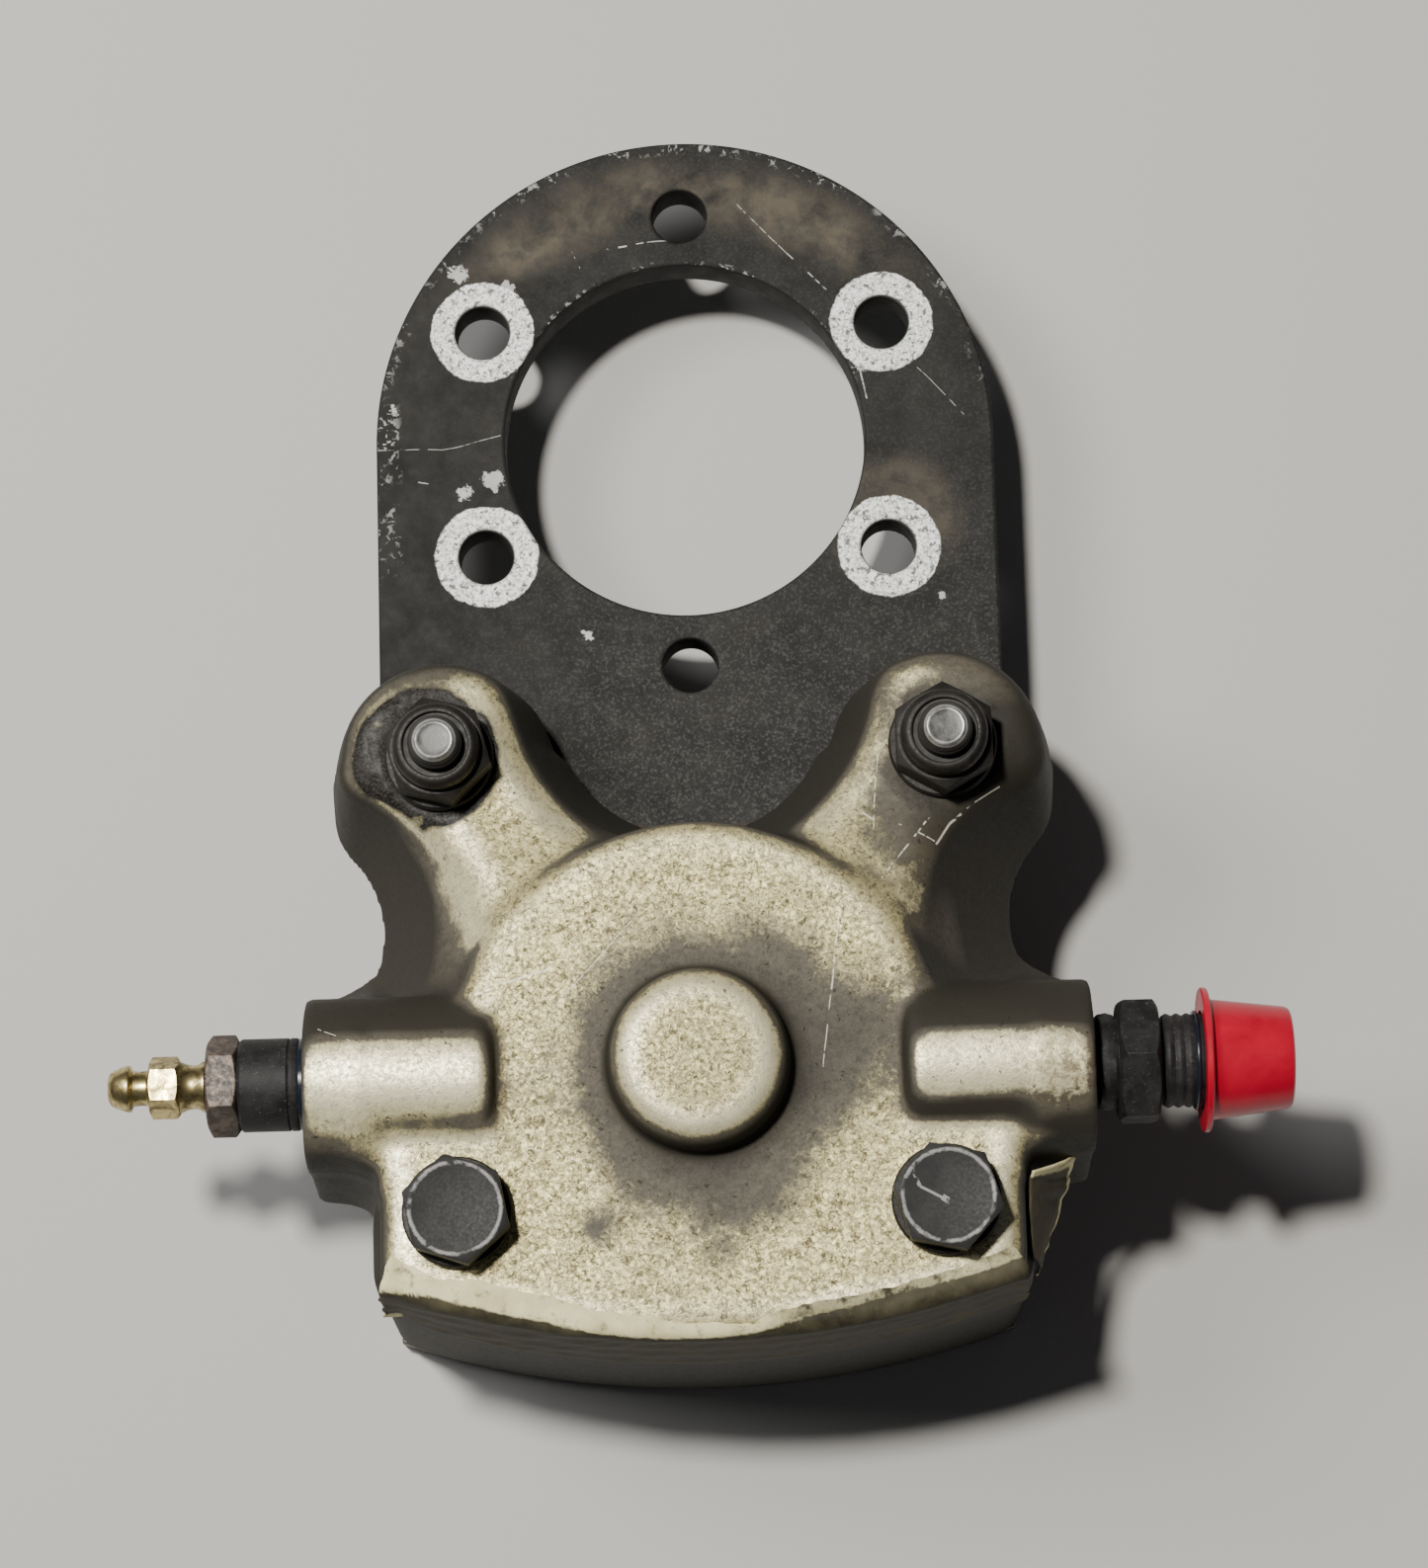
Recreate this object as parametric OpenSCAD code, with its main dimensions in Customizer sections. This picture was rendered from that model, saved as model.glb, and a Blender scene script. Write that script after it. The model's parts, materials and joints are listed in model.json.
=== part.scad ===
// Single-piston floating disc brake caliper on its torque plate.
// Millimetres. The origin is on the axle bore's axis, at the torque plate's back face.
// +Z points from the back face towards the cylinder, and +Y away from the cylinder.
// The caliper's casting hangs below the axle bore, so most of it has negative Y.

/* [Torque plate] */
// Thickness of the plate
plate_t = 6.35; // [5:0.05:8]
// Half width of the plate, and radius of its round end
plate_half_w = 38.1; // [37:0.1:42]
// Radius of the arc that ends the plate below the anchor pins
plate_foot_r = 60.5; // [60:0.1:61]
// Diameter of the axle bore
axle_bore_d = 44.45; // [38:0.05:46]
// Pitch circle diameter of the axle bolt holes
bolt_circle_d = 57.15; // [56:0.05:60]
// Number of axle bolt holes
bolt_count = 6; // [3:1:6]
// Diameter of each axle bolt hole
bolt_hole_d = 6.7; // [6.4:0.1:8]

/* [Anchor pins] */
// Distance of each pin from the centre line
pin_x = 29.4; // [28:0.1:31]
// Height of the pins in the plate's plane
pin_y = -44.1; // [-45:0.1:-43]
// Diameter of the part that slides in the bushing
pin_d = 9.5; // [8:0.1:10]
// Radial clearance between a pin and its bushing
slide_gap = 0.05; // [0.02:0.01:0.1]
// Diameter of the stud that carries the nut
stud_d = 6.35; // [6:0.05:6.5]

/* [Cylinder casting] */
// Height of the cylinder's centre in the plate's plane
cyl_y = -81.2; // [-82:0.1:-80]
// Radius of the raised round cylinder
cyl_r = 28.4; // [27:0.1:29]
// Height of the casting's front face
face_z = 35.5; // [35:0.1:37]
// Height of the casting's back face behind the cylinder
cast_back_z = 15.5; // [15:0.1:17]
// Radius of the foot's outer wall about the axle
foot_r = 115.7; // [115:0.1:118]
// How far the foot's outer wall leans in towards the front face
foot_draft = 3; // [0:0.1:4]
// Half width of the casting's lower half
foot_half_w = 37.5; // [37:0.1:39]
// Diameter of the piston's bore
bore_d = 38.1; // [36:0.1:40]
// Height of the bore's closed end
bore_end_z = 30; // [28:0.1:30]

/* [Ports] */
// Height of the port axis in the plate's plane
port_y = -81.8; // [-82.5:0.1:-81]
// Height of the port axis above the plate's back face
port_z = 28.9; // [27.5:0.1:29.5]
// Radius of each port boss
port_r = 9.8; // [9.5:0.1:10.5]
// Distance of each port's end face from the centre line
port_x = 45.4; // [44:0.1:47]

/* [Pads] */
// Thickness of a new lining
lining_t = 6; // [4:0.1:6]
// Width of the slot for the brake disc
disc_slot = 6.6; // [5:0.1:7]
// Inner radius of both linings about the axle
lining_in_r = 62; // [61.5:0.1:66]
// Outer radius of both linings about the axle
lining_out_r = 93.5; // [90:0.1:93.5]
// Thickness of the pressure plate
pressure_t = 3.8; // [3:0.1:3.8]
// Thickness of the back plate
back_t = 4.6; // [4:0.1:5]

/* [Back plate bolts] */
// Distance of each bolt from the centre line
bolt_x = 27.9; // [27:0.1:28.5]
// Height of the bolts in the plate's plane
bolt_y = -97.9; // [-99:0.1:-97]
// Width across the flats of the bolt heads and nuts
hex_af = 11.11; // [11:0.01:11.2]

/* [Hidden] */

$fn = 96;
eps = 0.01;
corners = 1 / cos(30);          // across corners over across flats, for a hexagon

// Stack of heights, from the casting's ears down to the back plate.
rest_gap = 0.35;
ear_back_z = 14.35;
ear_top_z = 30.85;
pressure_z = ear_back_z - rest_gap - pressure_t;
pad_face_z = pressure_z - lining_t;
back_face_z = pad_face_z - disc_slot;
back_plate_z = back_face_z - lining_t;
back_z = back_plate_z - back_t;
back_corner_y = -91.5;
back_corner_x = 34.2;

// Half angle of the sector that each lining covers, seen from the axle.
lining_half_angle = 19.5;

// Casting.
ear_base_r = 13.7;
ear_shoulder_z = 28;
ear_shoulder_r = 11.2;
ear_top_r = 9.4;
web_z = 32;
edge_round = 1.2;
fold_r = foot_r - foot_draft - edge_round;      // radius of the centre of the foot's front edge rounding
foot_in_r = 103;
foot_top_y = -78;
bolt_column_r = 7.2;
clear_hole_r = 3.25;
dome_r = 10.5;
dome_top_r = 7.7;
dome_h = 6.85;
port_inner_x = 23.5;
port_skirt_x = 29;
port_skirt_half = 11.3;
port_web_r = 6;
port_web_drop = 8.5;            // from a port's axis down to its web
port_web_end = 0.2;
port_thread_r = 4.25;
port_thread_depth = 12;
passage_r = 2;

// Piston.
piston_r = bore_d / 2 - slide_gap;
piston_face_z = ear_back_z - 0.15;
piston_top_z = 27.5;
ring_r = 1.25;
ring_z = 23;
insulator_r = 14;
insulator_t = 1.7;

// Fasteners.
washer_r = 6.35;
washer_t = 1.5;
stud_tip_z = 42.3;
nut_z = ear_top_z + washer_t;
nut_hex_h = 4.65;
nut_collar_r = 5.05;
nut_collar_h = 2.7;
insert_r = 4.3;
head_h = 4.2;
rivet_r = 1.8;
rivet_head_r = 3.3;
rivet_head_t = 1.5;
rivet_sink = lining_t / 2;      // distance from the lining's back to the middle of a rivet's head
rivet_places = [[0, -70.5], [-18, -79], [18, -79]];

// Brake line fittings, as distances outwards from the casting's centre line.
seal_t = 0.9;
adapter_x = port_x + seal_t;
adapter_r = 5.4;
jam_nut_x = 53.2;
jam_nut_t = 3.7;
jam_nut_af = 10.4;
jam_bore_r = 3.2;
bleeder_x = jam_nut_x + jam_nut_t + 0.3;
bleeder_shank_r = 2.4;
bleeder_af = 6.35;
inlet_thread_r = 5.45;
inlet_af = 13.5;
inlet_hex_x = 48.4;
inlet_hex_t = 4.7;
inlet_nose_x = 62;
cap_x = 58.1;
cap_flange_r = 8.4;
cap_len = 10.4;
cap_wall = 1.2;

tape_t = 0.4;
tape_low_z = 14;
tape_lip_r = 108.6;
flap_lean = 20;
// Radius of the foot's leaning wall at the tape's lower edge.
tape_low_r = foot_r - foot_draft * (tape_low_z - back_plate_z) / (face_z - edge_round - back_plate_z);

// Points of an arc about a centre, from one angle to another.
function arc(cx, cy, r, from, to, steps = 12) =
    [for (i = [0:steps]) let (a = from + (to - from) * i / steps) [cx + r * cos(a), cy + r * sin(a)]];

// Places a child at a point of the plate's plane, at a height.
module at(x, y, z) {
    translate([x, y, z])
        children();
}

// Turns a child that stands on +Z so that it points along +X or -X on the port axis.
module along_port(side, x) {
    translate([side * x, port_y, port_z])
        rotate([0, side * 90, 0])
            children();
}

// A flat ring or tube that stands on the plane z = 0.
module tube(r_out, r_in, h) {
    difference() {
        cylinder(r = r_out, h = h);
        translate([0, 0, -eps])
            cylinder(r = r_in, h = h + 2 * eps);
    }
}

// A hexagonal bar of a width across the flats.
module hex_bar(af, h) {
    cylinder(d = af * corners, h = h, $fn = 6);
}

module torque_plate() {
    color("#3b3936")
    difference() {
        linear_extrude(plate_t)
            difference() {
                intersection() {
                    union() {
                        circle(r = plate_half_w);
                        translate([-plate_half_w, -plate_foot_r])
                            square([2 * plate_half_w, plate_foot_r]);
                    }
                    circle(r = plate_foot_r);
                }
                circle(d = axle_bore_d);
                for (i = [0:bolt_count - 1])
                    rotate(90 + i * 360 / bolt_count)
                        translate([bolt_circle_d / 2, 0])
                            circle(d = bolt_hole_d);
                for (side = [-1, 1])
                    translate([side * pin_x, pin_y])
                        circle(r = pin_d / 2 + 1.45);
            }
        // Broken edge at the front of each bolt hole.
        for (i = [0:bolt_count - 1])
            rotate(90 + i * 360 / bolt_count)
                at(bolt_circle_d / 2, 0, plate_t - 0.3)
                    cylinder(r1 = bolt_hole_d / 2, r2 = bolt_hole_d / 2 + 0.32, h = 0.32);
    }
}

module anchor_bushing(side) {
    color("#8d7440")
    at(side * pin_x, pin_y, 0)
        difference() {
            union() {
                cylinder(r = pin_d / 2 + 1.45, h = plate_t);
                translate([0, 0, -0.9])
                    cylinder(r = pin_d / 2 + 2.6, h = 0.9);
            }
            translate([0, 0, -2])
                cylinder(r = pin_d / 2 + slide_gap, h = plate_t + 4);
        }
}

// One ear of the casting, which flares towards its back face.
module ear(side) {
    at(side * pin_x, pin_y, 0)
        rotate_extrude()
            polygon([[0, ear_back_z], [ear_base_r, ear_back_z], [ear_shoulder_r, ear_shoulder_z],
                     [ear_top_r, ear_top_z], [0, ear_top_z]]);
}

// The web that joins both ears to the cylinder, waisted by a cone at each side and between the ears.
module yoke() {
    difference() {
        at(0, 0, ear_back_z)
            linear_extrude(web_z - ear_back_z)
                polygon([[-43, pin_y], [-43, foot_top_y], [43, foot_top_y], [43, pin_y],
                         [pin_x, pin_y + 10], [-pin_x, pin_y + 10]]);
        for (side = [-1, 1])
            at(side * 52, -59.5, ear_back_z - eps)
                cylinder(r1 = 14.5, r2 = 23, h = web_z - ear_back_z + 2 * eps);
        at(0, -35, ear_back_z - eps)
            cylinder(r1 = 16.5, r2 = 21, h = web_z - ear_back_z + 2 * eps);
    }
}

// The raised round cylinder with its rounded front edge.
module cylinder_drum() {
    at(0, cyl_y, 0)
        rotate_extrude()
            polygon(concat([[0, ear_back_z + 0.55], [cyl_r, ear_back_z + 0.55]],
                           arc(cyl_r - 1.5, face_z - 1.5, 1.5, 0, 90, 6),
                           [[0, face_z]]));
}

// The lower half, with the foot that bridges the disc's rim down to the back plate.
module foot() {
    intersection() {
        rotate_extrude($fn = 180)
            polygon(concat([[60, cast_back_z], [foot_in_r, cast_back_z], [foot_in_r, back_plate_z],
                            [foot_r, back_plate_z]],
                           arc(fold_r, face_z - edge_round, edge_round, 0, 90, 8),
                           [[60, face_z]]));
        at(-foot_half_w, -foot_r - 5, back_plate_z - 1)
            cube([2 * foot_half_w, foot_r + 5 + foot_top_y, face_z - back_plate_z + 2]);
    }
    for (side = [-1, 1])
        at(side * bolt_x, bolt_y, back_plate_z)
            cylinder(r = bolt_column_r, h = cast_back_z - back_plate_z + 1);
}

// The round centre dome, hollow inside.
module dome() {
    at(0, cyl_y, face_z - 1)
        rotate_extrude()
            polygon(concat([[0, 0], [dome_r + 0.8, 0], [dome_r, 2]],
                           arc(dome_top_r, dome_h - 1.8, dome_r - dome_top_r, 0, 90, 8),
                           [[0, dome_h + 1]]));
}

// The skirt under a port boss: drafted walls that run down to the casting's back.
module port_skirt(side) {
    x = side > 0 ? port_skirt_x : -port_x;
    translate([x, port_y, 0])
        rotate([90, 0, 90])
            linear_extrude(port_x - port_skirt_x)
                polygon([[-port_r, port_z], [port_r, port_z],
                         [port_skirt_half, cast_back_z], [-port_skirt_half, cast_back_z]]);
}

// The web in the corner below a port: it fills the corner up to a concave round.
module port_web(side) {
    round_x = foot_half_w + port_web_end + port_web_r;
    round_y = port_y - port_web_drop - port_web_r;
    mirror([side > 0 ? 0 : 1, 0, 0])
        difference() {
            at(foot_half_w - 3, round_y, cast_back_z)
                cube([port_web_r + 3, port_web_r + 3, face_z - 1 - cast_back_z]);
            at(round_x, round_y, cast_back_z - 1)
                cylinder(r = port_web_r, h = face_z - cast_back_z + 2);
        }
}

module cylinder_casting() {
    color("#a79c82")
    difference() {
        union() {
            yoke();
            cylinder_drum();
            foot();
            dome();
            for (side = [-1, 1]) {
                ear(side);
                port_skirt(side);
                port_web(side);
                along_port(side, port_inner_x)
                    cylinder(r = port_r, h = port_x - port_inner_x);
            }
        }
        at(0, cyl_y, ear_back_z)
            cylinder(d = bore_d, h = bore_end_z - ear_back_z);
        at(0, cyl_y, bore_end_z - eps)
            cylinder(r = 7, h = 6);
        for (side = [-1, 1]) {
            at(side * pin_x, pin_y, ear_back_z - 1)
                cylinder(r = clear_hole_r, h = ear_top_z - ear_back_z + 5);
            at(side * pin_x, pin_y, ear_top_z)
                cylinder(r = ear_top_r, h = 5);
            at(side * bolt_x, bolt_y, back_plate_z - 1)
                cylinder(r = clear_hole_r, h = face_z - back_plate_z + 2);
            along_port(side, port_x - port_thread_depth)
                cylinder(r = port_thread_r, h = port_thread_depth + 1);
            along_port(side, 15)
                cylinder(r = passage_r, h = port_x - 16);
        }
    }
}

module piston() {
    color("#c9c6bd")
    at(0, cyl_y, 0)
        rotate_extrude()
            polygon([[0, piston_face_z + insulator_t], [insulator_r, piston_face_z + insulator_t],
                     [insulator_r, piston_face_z + 0.2], [piston_r - 0.6, piston_face_z + 0.2],
                     [piston_r, piston_face_z + 0.8], [piston_r, ring_z - 1.45],
                     [piston_r - 2 * ring_r - 0.05, ring_z - 1.45],
                     [piston_r - 2 * ring_r - 0.05, ring_z + 1.45], [piston_r, ring_z + 1.45],
                     [piston_r, piston_top_z - 0.8], [piston_r - 0.8, piston_top_z],
                     [12, piston_top_z], [12, piston_top_z - 7], [0, piston_top_z - 7]]);
}

module piston_o_ring() {
    color("#1c1c1c")
    at(0, cyl_y, ring_z)
        rotate_extrude()
            translate([piston_r - ring_r, 0])
                circle(r = ring_r, $fn = 24);
}

module piston_insulator() {
    color("#7a4a2a")
    at(0, cyl_y, piston_face_z)
        cylinder(r = insulator_r, h = insulator_t);
}

// Sliding pin with a shoulder against the ear's back face and a stud through the ear.
module anchor_pin(side) {
    color("#b9b9b4")
    at(side * pin_x, pin_y, 0)
        rotate_extrude()
            polygon([[0, -5.5], [pin_d / 2 - 1, -5.5], [pin_d / 2, -4.5], [pin_d / 2, ear_back_z],
                     [stud_d / 2, ear_back_z], [stud_d / 2, stud_tip_z - 0.9],
                     [stud_d / 2 - 0.85, stud_tip_z], [0, stud_tip_z]]);
}

module flat_washer(x, y, z) {
    color("#34302b")
    at(x, y, z)
        tube(washer_r, clear_hole_r, washer_t);
}

// Self-locking nut: a hexagon with a round collar that holds the insert.
module anchor_nut(side) {
    color("#2f2b27")
    at(side * pin_x, pin_y, nut_z)
        difference() {
            union() {
                rotate(30)
                    hex_bar(hex_af, nut_hex_h);
                cylinder(r = nut_collar_r, h = nut_hex_h + nut_collar_h);
            }
            translate([0, 0, -1])
                cylinder(r = stud_d / 2, h = nut_hex_h + nut_collar_h + 2);
            translate([0, 0, nut_hex_h + 0.3])
                cylinder(r = insert_r, h = nut_collar_h);
        }
}

module nut_insert(side) {
    color("#3a3733")
    at(side * pin_x, pin_y, nut_z + nut_hex_h + 0.3)
        tube(insert_r, stud_d / 2, nut_collar_h - 0.8);
}

// Flat outline shared by both linings: a sector of a ring about the axle.
module lining_outline() {
    intersection() {
        difference() {
            circle(r = lining_out_r, $fn = 180);
            circle(r = lining_in_r, $fn = 180);
        }
        polygon([[0, 0], [-120 * tan(lining_half_angle), -120], [120 * tan(lining_half_angle), -120]]);
    }
}

// One riveted lining whose rubbing face is at the height z or z + lining_t.
module lining(z, head_low) {
    color("#4a3c33")
    difference() {
        at(0, 0, z)
            linear_extrude(lining_t)
                lining_outline();
        for (p = rivet_places) {
            at(p[0], p[1], z - 1)
                cylinder(r = rivet_r, h = lining_t + 2);
            at(p[0], p[1], head_low ? z - 1 : z + rivet_sink - rivet_head_t / 2)
                cylinder(r = rivet_head_r, h = rivet_sink + rivet_head_t / 2 + 1);
        }
    }
}

module pressure_plate() {
    color("#6b6458")
    difference() {
        at(0, 0, pressure_z)
            linear_extrude(pressure_t)
                difference() {
                    union() {
                        intersection() {
                            difference() {
                                circle(r = lining_out_r + 0.4, $fn = 180);
                                circle(r = 50, $fn = 180);
                            }
                            translate([-34, -96])
                                square([68, 51.9]);
                        }
                        translate([0, cyl_y])
                            circle(r = bore_d / 2);
                        for (side = [-1, 1])
                            translate([side * pin_x, pin_y])
                                circle(r = 8.4);
                    }
                    for (side = [-1, 1]) {
                        translate([side * pin_x, pin_y])
                            circle(r = pin_d / 2 + slide_gap + 0.02);
                        translate([side * bolt_x, bolt_y])
                            circle(r = bolt_column_r + 0.6);
                    }
                }
        for (p = rivet_places)
            at(p[0], p[1], pressure_z - 1)
                cylinder(r = rivet_r, h = pressure_t + 2);
    }
}

// Three rivets, each with its head sunk in the lining and its shank through the plate.
module rivets(head_z, shank_z, shank_h) {
    color("#9a7b45")
    for (p = rivet_places) {
        at(p[0], p[1], head_z)
            cylinder(r = rivet_head_r, h = rivet_head_t);
        at(p[0], p[1], shank_z)
            cylinder(r = rivet_r, h = shank_h);
    }
}

module back_plate() {
    color("#5f5b55")
    difference() {
        at(0, 0, back_z)
            linear_extrude(back_t)
                intersection() {
                    difference() {
                        circle(r = foot_r - 0.2, $fn = 180);
                        circle(r = lining_in_r - 1, $fn = 180);
                    }
                    polygon([[0, 0], [-back_corner_x, back_corner_y], [-foot_half_w, back_corner_y],
                             [-foot_half_w, -foot_r], [foot_half_w, -foot_r], [foot_half_w, back_corner_y],
                             [back_corner_x, back_corner_y]]);
                }
        for (side = [-1, 1])
            at(side * bolt_x, bolt_y, back_z - 1)
                cylinder(r = stud_d / 2, h = back_t + 2);
        for (p = rivet_places)
            at(p[0], p[1], back_z - 1)
                cylinder(r = rivet_r, h = back_t + 2);
    }
}

module back_bolt(side, turn) {
    color("#3d3b3a")
    at(side * bolt_x, bolt_y, 0) {
        translate([0, 0, back_z + 0.4])
            cylinder(d = stud_d, h = face_z + washer_t - back_z - 0.4);
        translate([0, 0, face_z + washer_t])
            rotate(turn)
                hex_bar(hex_af, head_h);
    }
}

module port_seal_ring() {
    color("#2b2a29")
    along_port(-1, port_x)
        tube(adapter_r - 0.05, port_thread_r, seal_t);
}

// Round adapter with a stub for the jam nut and a running bore for the bleeder screw.
module bleeder_adapter() {
    color("#302e2f")
    difference() {
        union() {
            along_port(-1, port_x - 10)
                cylinder(r = port_thread_r, h = 11);
            along_port(-1, adapter_x)
                cylinder(r = adapter_r, h = jam_nut_x - adapter_x);
            along_port(-1, jam_nut_x - 1)
                cylinder(r = jam_bore_r, h = jam_nut_t + 1);
        }
        along_port(-1, port_x - 11)
            cylinder(r = bleeder_shank_r + slide_gap, h = 30);
    }
}

module bleeder_jam_nut() {
    color("#5f4b3d")
    along_port(-1, jam_nut_x)
        difference() {
            rotate(30)
                hex_bar(jam_nut_af, jam_nut_t);
            translate([0, 0, -1])
                cylinder(r = jam_bore_r, h = jam_nut_t + 2);
        }
}

// Bleeder screw: needle, shank, waisted collar, hexagon, neck and hose nipple.
module bleeder_screw() {
    color("#b59a4a")
    difference() {
        along_port(-1, 0) {
            rotate_extrude()
                polygon([[0, 37], [bleeder_shank_r, 39.5], [bleeder_shank_r, bleeder_x],
                         [2.95, bleeder_x], [2.55, bleeder_x + 1.6], [3.05, bleeder_x + 3],
                         [0, bleeder_x + 3]]);
            translate([0, 0, bleeder_x + 2.8])
                rotate(30)
                    hex_bar(bleeder_af, 3.7);
            translate([0, 0, bleeder_x + 6])
                rotate_extrude()
                    polygon([[0, 0], [2.05, 0], [2.05, 2.6], [2.75, 2.7], [2.75, 3.3],
                             [2, 5.1], [1.5, 5.3], [0, 5.3]]);
        }
        along_port(-1, 44)
            cylinder(r = 0.8, h = 30);
    }
}

module inlet_fitting() {
    color("#3a3939")
    difference() {
        union() {
            along_port(1, port_x - 10)
                cylinder(r = port_thread_r, h = 11);
            along_port(1, port_x + 0.3)
                cylinder(r = 5.5, h = inlet_hex_x - port_x);
            along_port(1, inlet_hex_x)
                hex_bar(inlet_af, inlet_hex_t);
            along_port(1, inlet_hex_x + inlet_hex_t - 1)
                rotate_extrude()
                    polygon([[0, 0], [inlet_thread_r, 0],
                             [inlet_thread_r, inlet_nose_x - inlet_hex_x - inlet_hex_t + 1],
                             [3, inlet_nose_x - inlet_hex_x - inlet_hex_t + 4.5],
                             [0, inlet_nose_x - inlet_hex_x - inlet_hex_t + 4.5]]);
        }
        along_port(1, port_x - 11)
            cylinder(r = 2.2, h = 40);
    }
}

module inlet_seal_ring() {
    color("#1d2b45")
    along_port(1, cap_x - 0.95)
        tube(inlet_thread_r + 0.35, inlet_thread_r, 0.6);
}

// Push-on cap with a thin flange and a tapered skirt, closed at its outer end.
module dust_cap() {
    color("#cf1f38")
    along_port(1, cap_x)
        rotate_extrude()
            polygon([[inlet_thread_r + 0.3, 0], [cap_flange_r, 0], [cap_flange_r, 0.9],
                     [inlet_thread_r + 0.3 + cap_wall, 0.9], [5.8, cap_len], [0, cap_len],
                     [0, cap_len - 1.4], [4.7, cap_len - 1.4], [inlet_thread_r + 0.3, 4.2]]);
}

// Tape along the foot's outer wall, folded over the casting's front edge.
module edge_tape() {
    color("#c2b893")
    intersection() {
        rotate_extrude($fn = 180)
            polygon(concat([[tape_lip_r, face_z], [tape_lip_r, face_z + tape_t]],
                           arc(fold_r, face_z - edge_round, edge_round + tape_t, 90, 0, 8),
                           [[tape_low_r + tape_t, tape_low_z], [tape_low_r, tape_low_z]],
                           arc(fold_r, face_z - edge_round, edge_round, 0, 90, 8)));
        at(-foot_half_w, -foot_r - 5, 0)
            cube([2 * foot_half_w, 40, face_z + 2]);
    }
}

// Loose end of the tape, which stands away from the casting's side below the right port.
module tape_flap() {
    color("#c2b893")
    at(foot_half_w + 0.05, -104, 0)
        rotate(-flap_lean)
            rotate([90, 0, 90])
                linear_extrude(tape_t)
                    polygon([[0, 12], [9.5, 20], [12, 31], [8, 33.5], [0, 33]]);
}

torque_plate();
anchor_bushing(-1);  // anchor_bushing_left
anchor_bushing(1);  // anchor_bushing_right
cylinder_casting();
piston();
piston_o_ring();
piston_insulator();
anchor_pin(-1);  // anchor_pin_left
anchor_pin(1);  // anchor_pin_right
flat_washer(-pin_x, pin_y, ear_top_z);  // anchor_washer_left
flat_washer(pin_x, pin_y, ear_top_z);  // anchor_washer_right
anchor_nut(-1);  // anchor_nut_left
anchor_nut(1);  // anchor_nut_right
nut_insert(-1);  // nut_insert_left
nut_insert(1);  // nut_insert_right
pressure_plate();
lining(pressure_z - lining_t, true);  // pressure_lining
rivets(pressure_z - rivet_sink - rivet_head_t / 2, pressure_z - rivet_sink, rivet_sink + pressure_t);  // pressure_rivets
back_plate();
lining(back_plate_z, false);  // back_lining
rivets(back_plate_z + rivet_sink - rivet_head_t / 2, back_z, back_t + rivet_sink);  // back_rivets
back_bolt(-1, 41);  // back_bolt_left
back_bolt(1, 48);  // back_bolt_right
flat_washer(-bolt_x, bolt_y, face_z);  // bolt_washer_left
flat_washer(bolt_x, bolt_y, face_z);  // bolt_washer_right
port_seal_ring();
bleeder_adapter();
bleeder_jam_nut();
bleeder_screw();
inlet_fitting();
inlet_seal_ring();
dust_cap();
edge_tape();
tape_flap();
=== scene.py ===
import json
import math

import bpy
import numpy as np
from mathutils import Euler, Matrix, Vector


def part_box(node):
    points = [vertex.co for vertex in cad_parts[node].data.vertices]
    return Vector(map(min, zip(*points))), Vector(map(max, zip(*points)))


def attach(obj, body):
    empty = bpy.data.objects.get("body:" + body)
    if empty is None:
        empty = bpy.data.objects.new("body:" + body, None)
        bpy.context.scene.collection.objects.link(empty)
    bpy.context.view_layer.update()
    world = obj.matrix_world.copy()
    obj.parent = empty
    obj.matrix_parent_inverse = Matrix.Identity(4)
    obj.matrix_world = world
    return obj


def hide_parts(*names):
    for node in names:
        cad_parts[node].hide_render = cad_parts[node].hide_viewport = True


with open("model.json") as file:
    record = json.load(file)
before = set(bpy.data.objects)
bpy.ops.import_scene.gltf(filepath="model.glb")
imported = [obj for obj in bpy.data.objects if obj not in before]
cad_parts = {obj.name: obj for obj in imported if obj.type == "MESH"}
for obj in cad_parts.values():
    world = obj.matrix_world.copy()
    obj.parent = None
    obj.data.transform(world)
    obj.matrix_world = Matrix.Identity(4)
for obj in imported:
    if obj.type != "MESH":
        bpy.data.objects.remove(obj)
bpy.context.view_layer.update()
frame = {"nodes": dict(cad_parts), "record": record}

# ---------------- the frame, in millimetres

MM = 0.001
record = frame["record"]
BODY_OF = {n: b for b, nodes in record["behaviour"]["bodies"].items() for n in nodes}


def low(node):
    """The lowest corner of a CAD node, in millimetres."""
    return np.array(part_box(node)[0]) / MM


def high(node):
    """The highest corner of a CAD node, in millimetres."""
    return np.array(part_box(node)[1]) / MM


def middle(node):
    return (low(node) + high(node)) / 2


def span(node):
    return high(node) - low(node)


PIN_X = middle("anchor_pin_right")[0]
PIN_Y = middle("anchor_pin_right")[1]
PIN_R = span("anchor_pin_right")[0] / 2
BOLT_X = middle("bolt_washer_right")[0]
BOLT_Y = middle("bolt_washer_right")[1]
CYL_Y = middle("piston")[1]
BORE_R = span("piston")[0] / 2 + 0.3
PORT_Y = middle("inlet_fitting")[1]
PORT_Z = middle("inlet_fitting")[2]
PORT_X = high("cylinder_casting")[0]
PORT_R = 9.8
EAR_TOP = low("anchor_washer_left")[2]
EAR_BACK = high("pressure_plate")[2] + 0.35
FACE = low("bolt_washer_left")[2]
FOOT_R = -low("cylinder_casting")[1]
FOOT_BACK = low("cylinder_casting")[2]
FOOT_X = high("edge_tape")[0]
DOME_TOP = high("cylinder_casting")[2]
DRUM_R = 28.4
DRUM_BACK = 14.9
SLAB_BACK = 15.5
FOOT_INNER_R = 103.0
FOOT_DRAFT = 3.0
FOLD = 1.2
BLOCK_X = 38.2
PORT_INNER_X = 23.4
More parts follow.
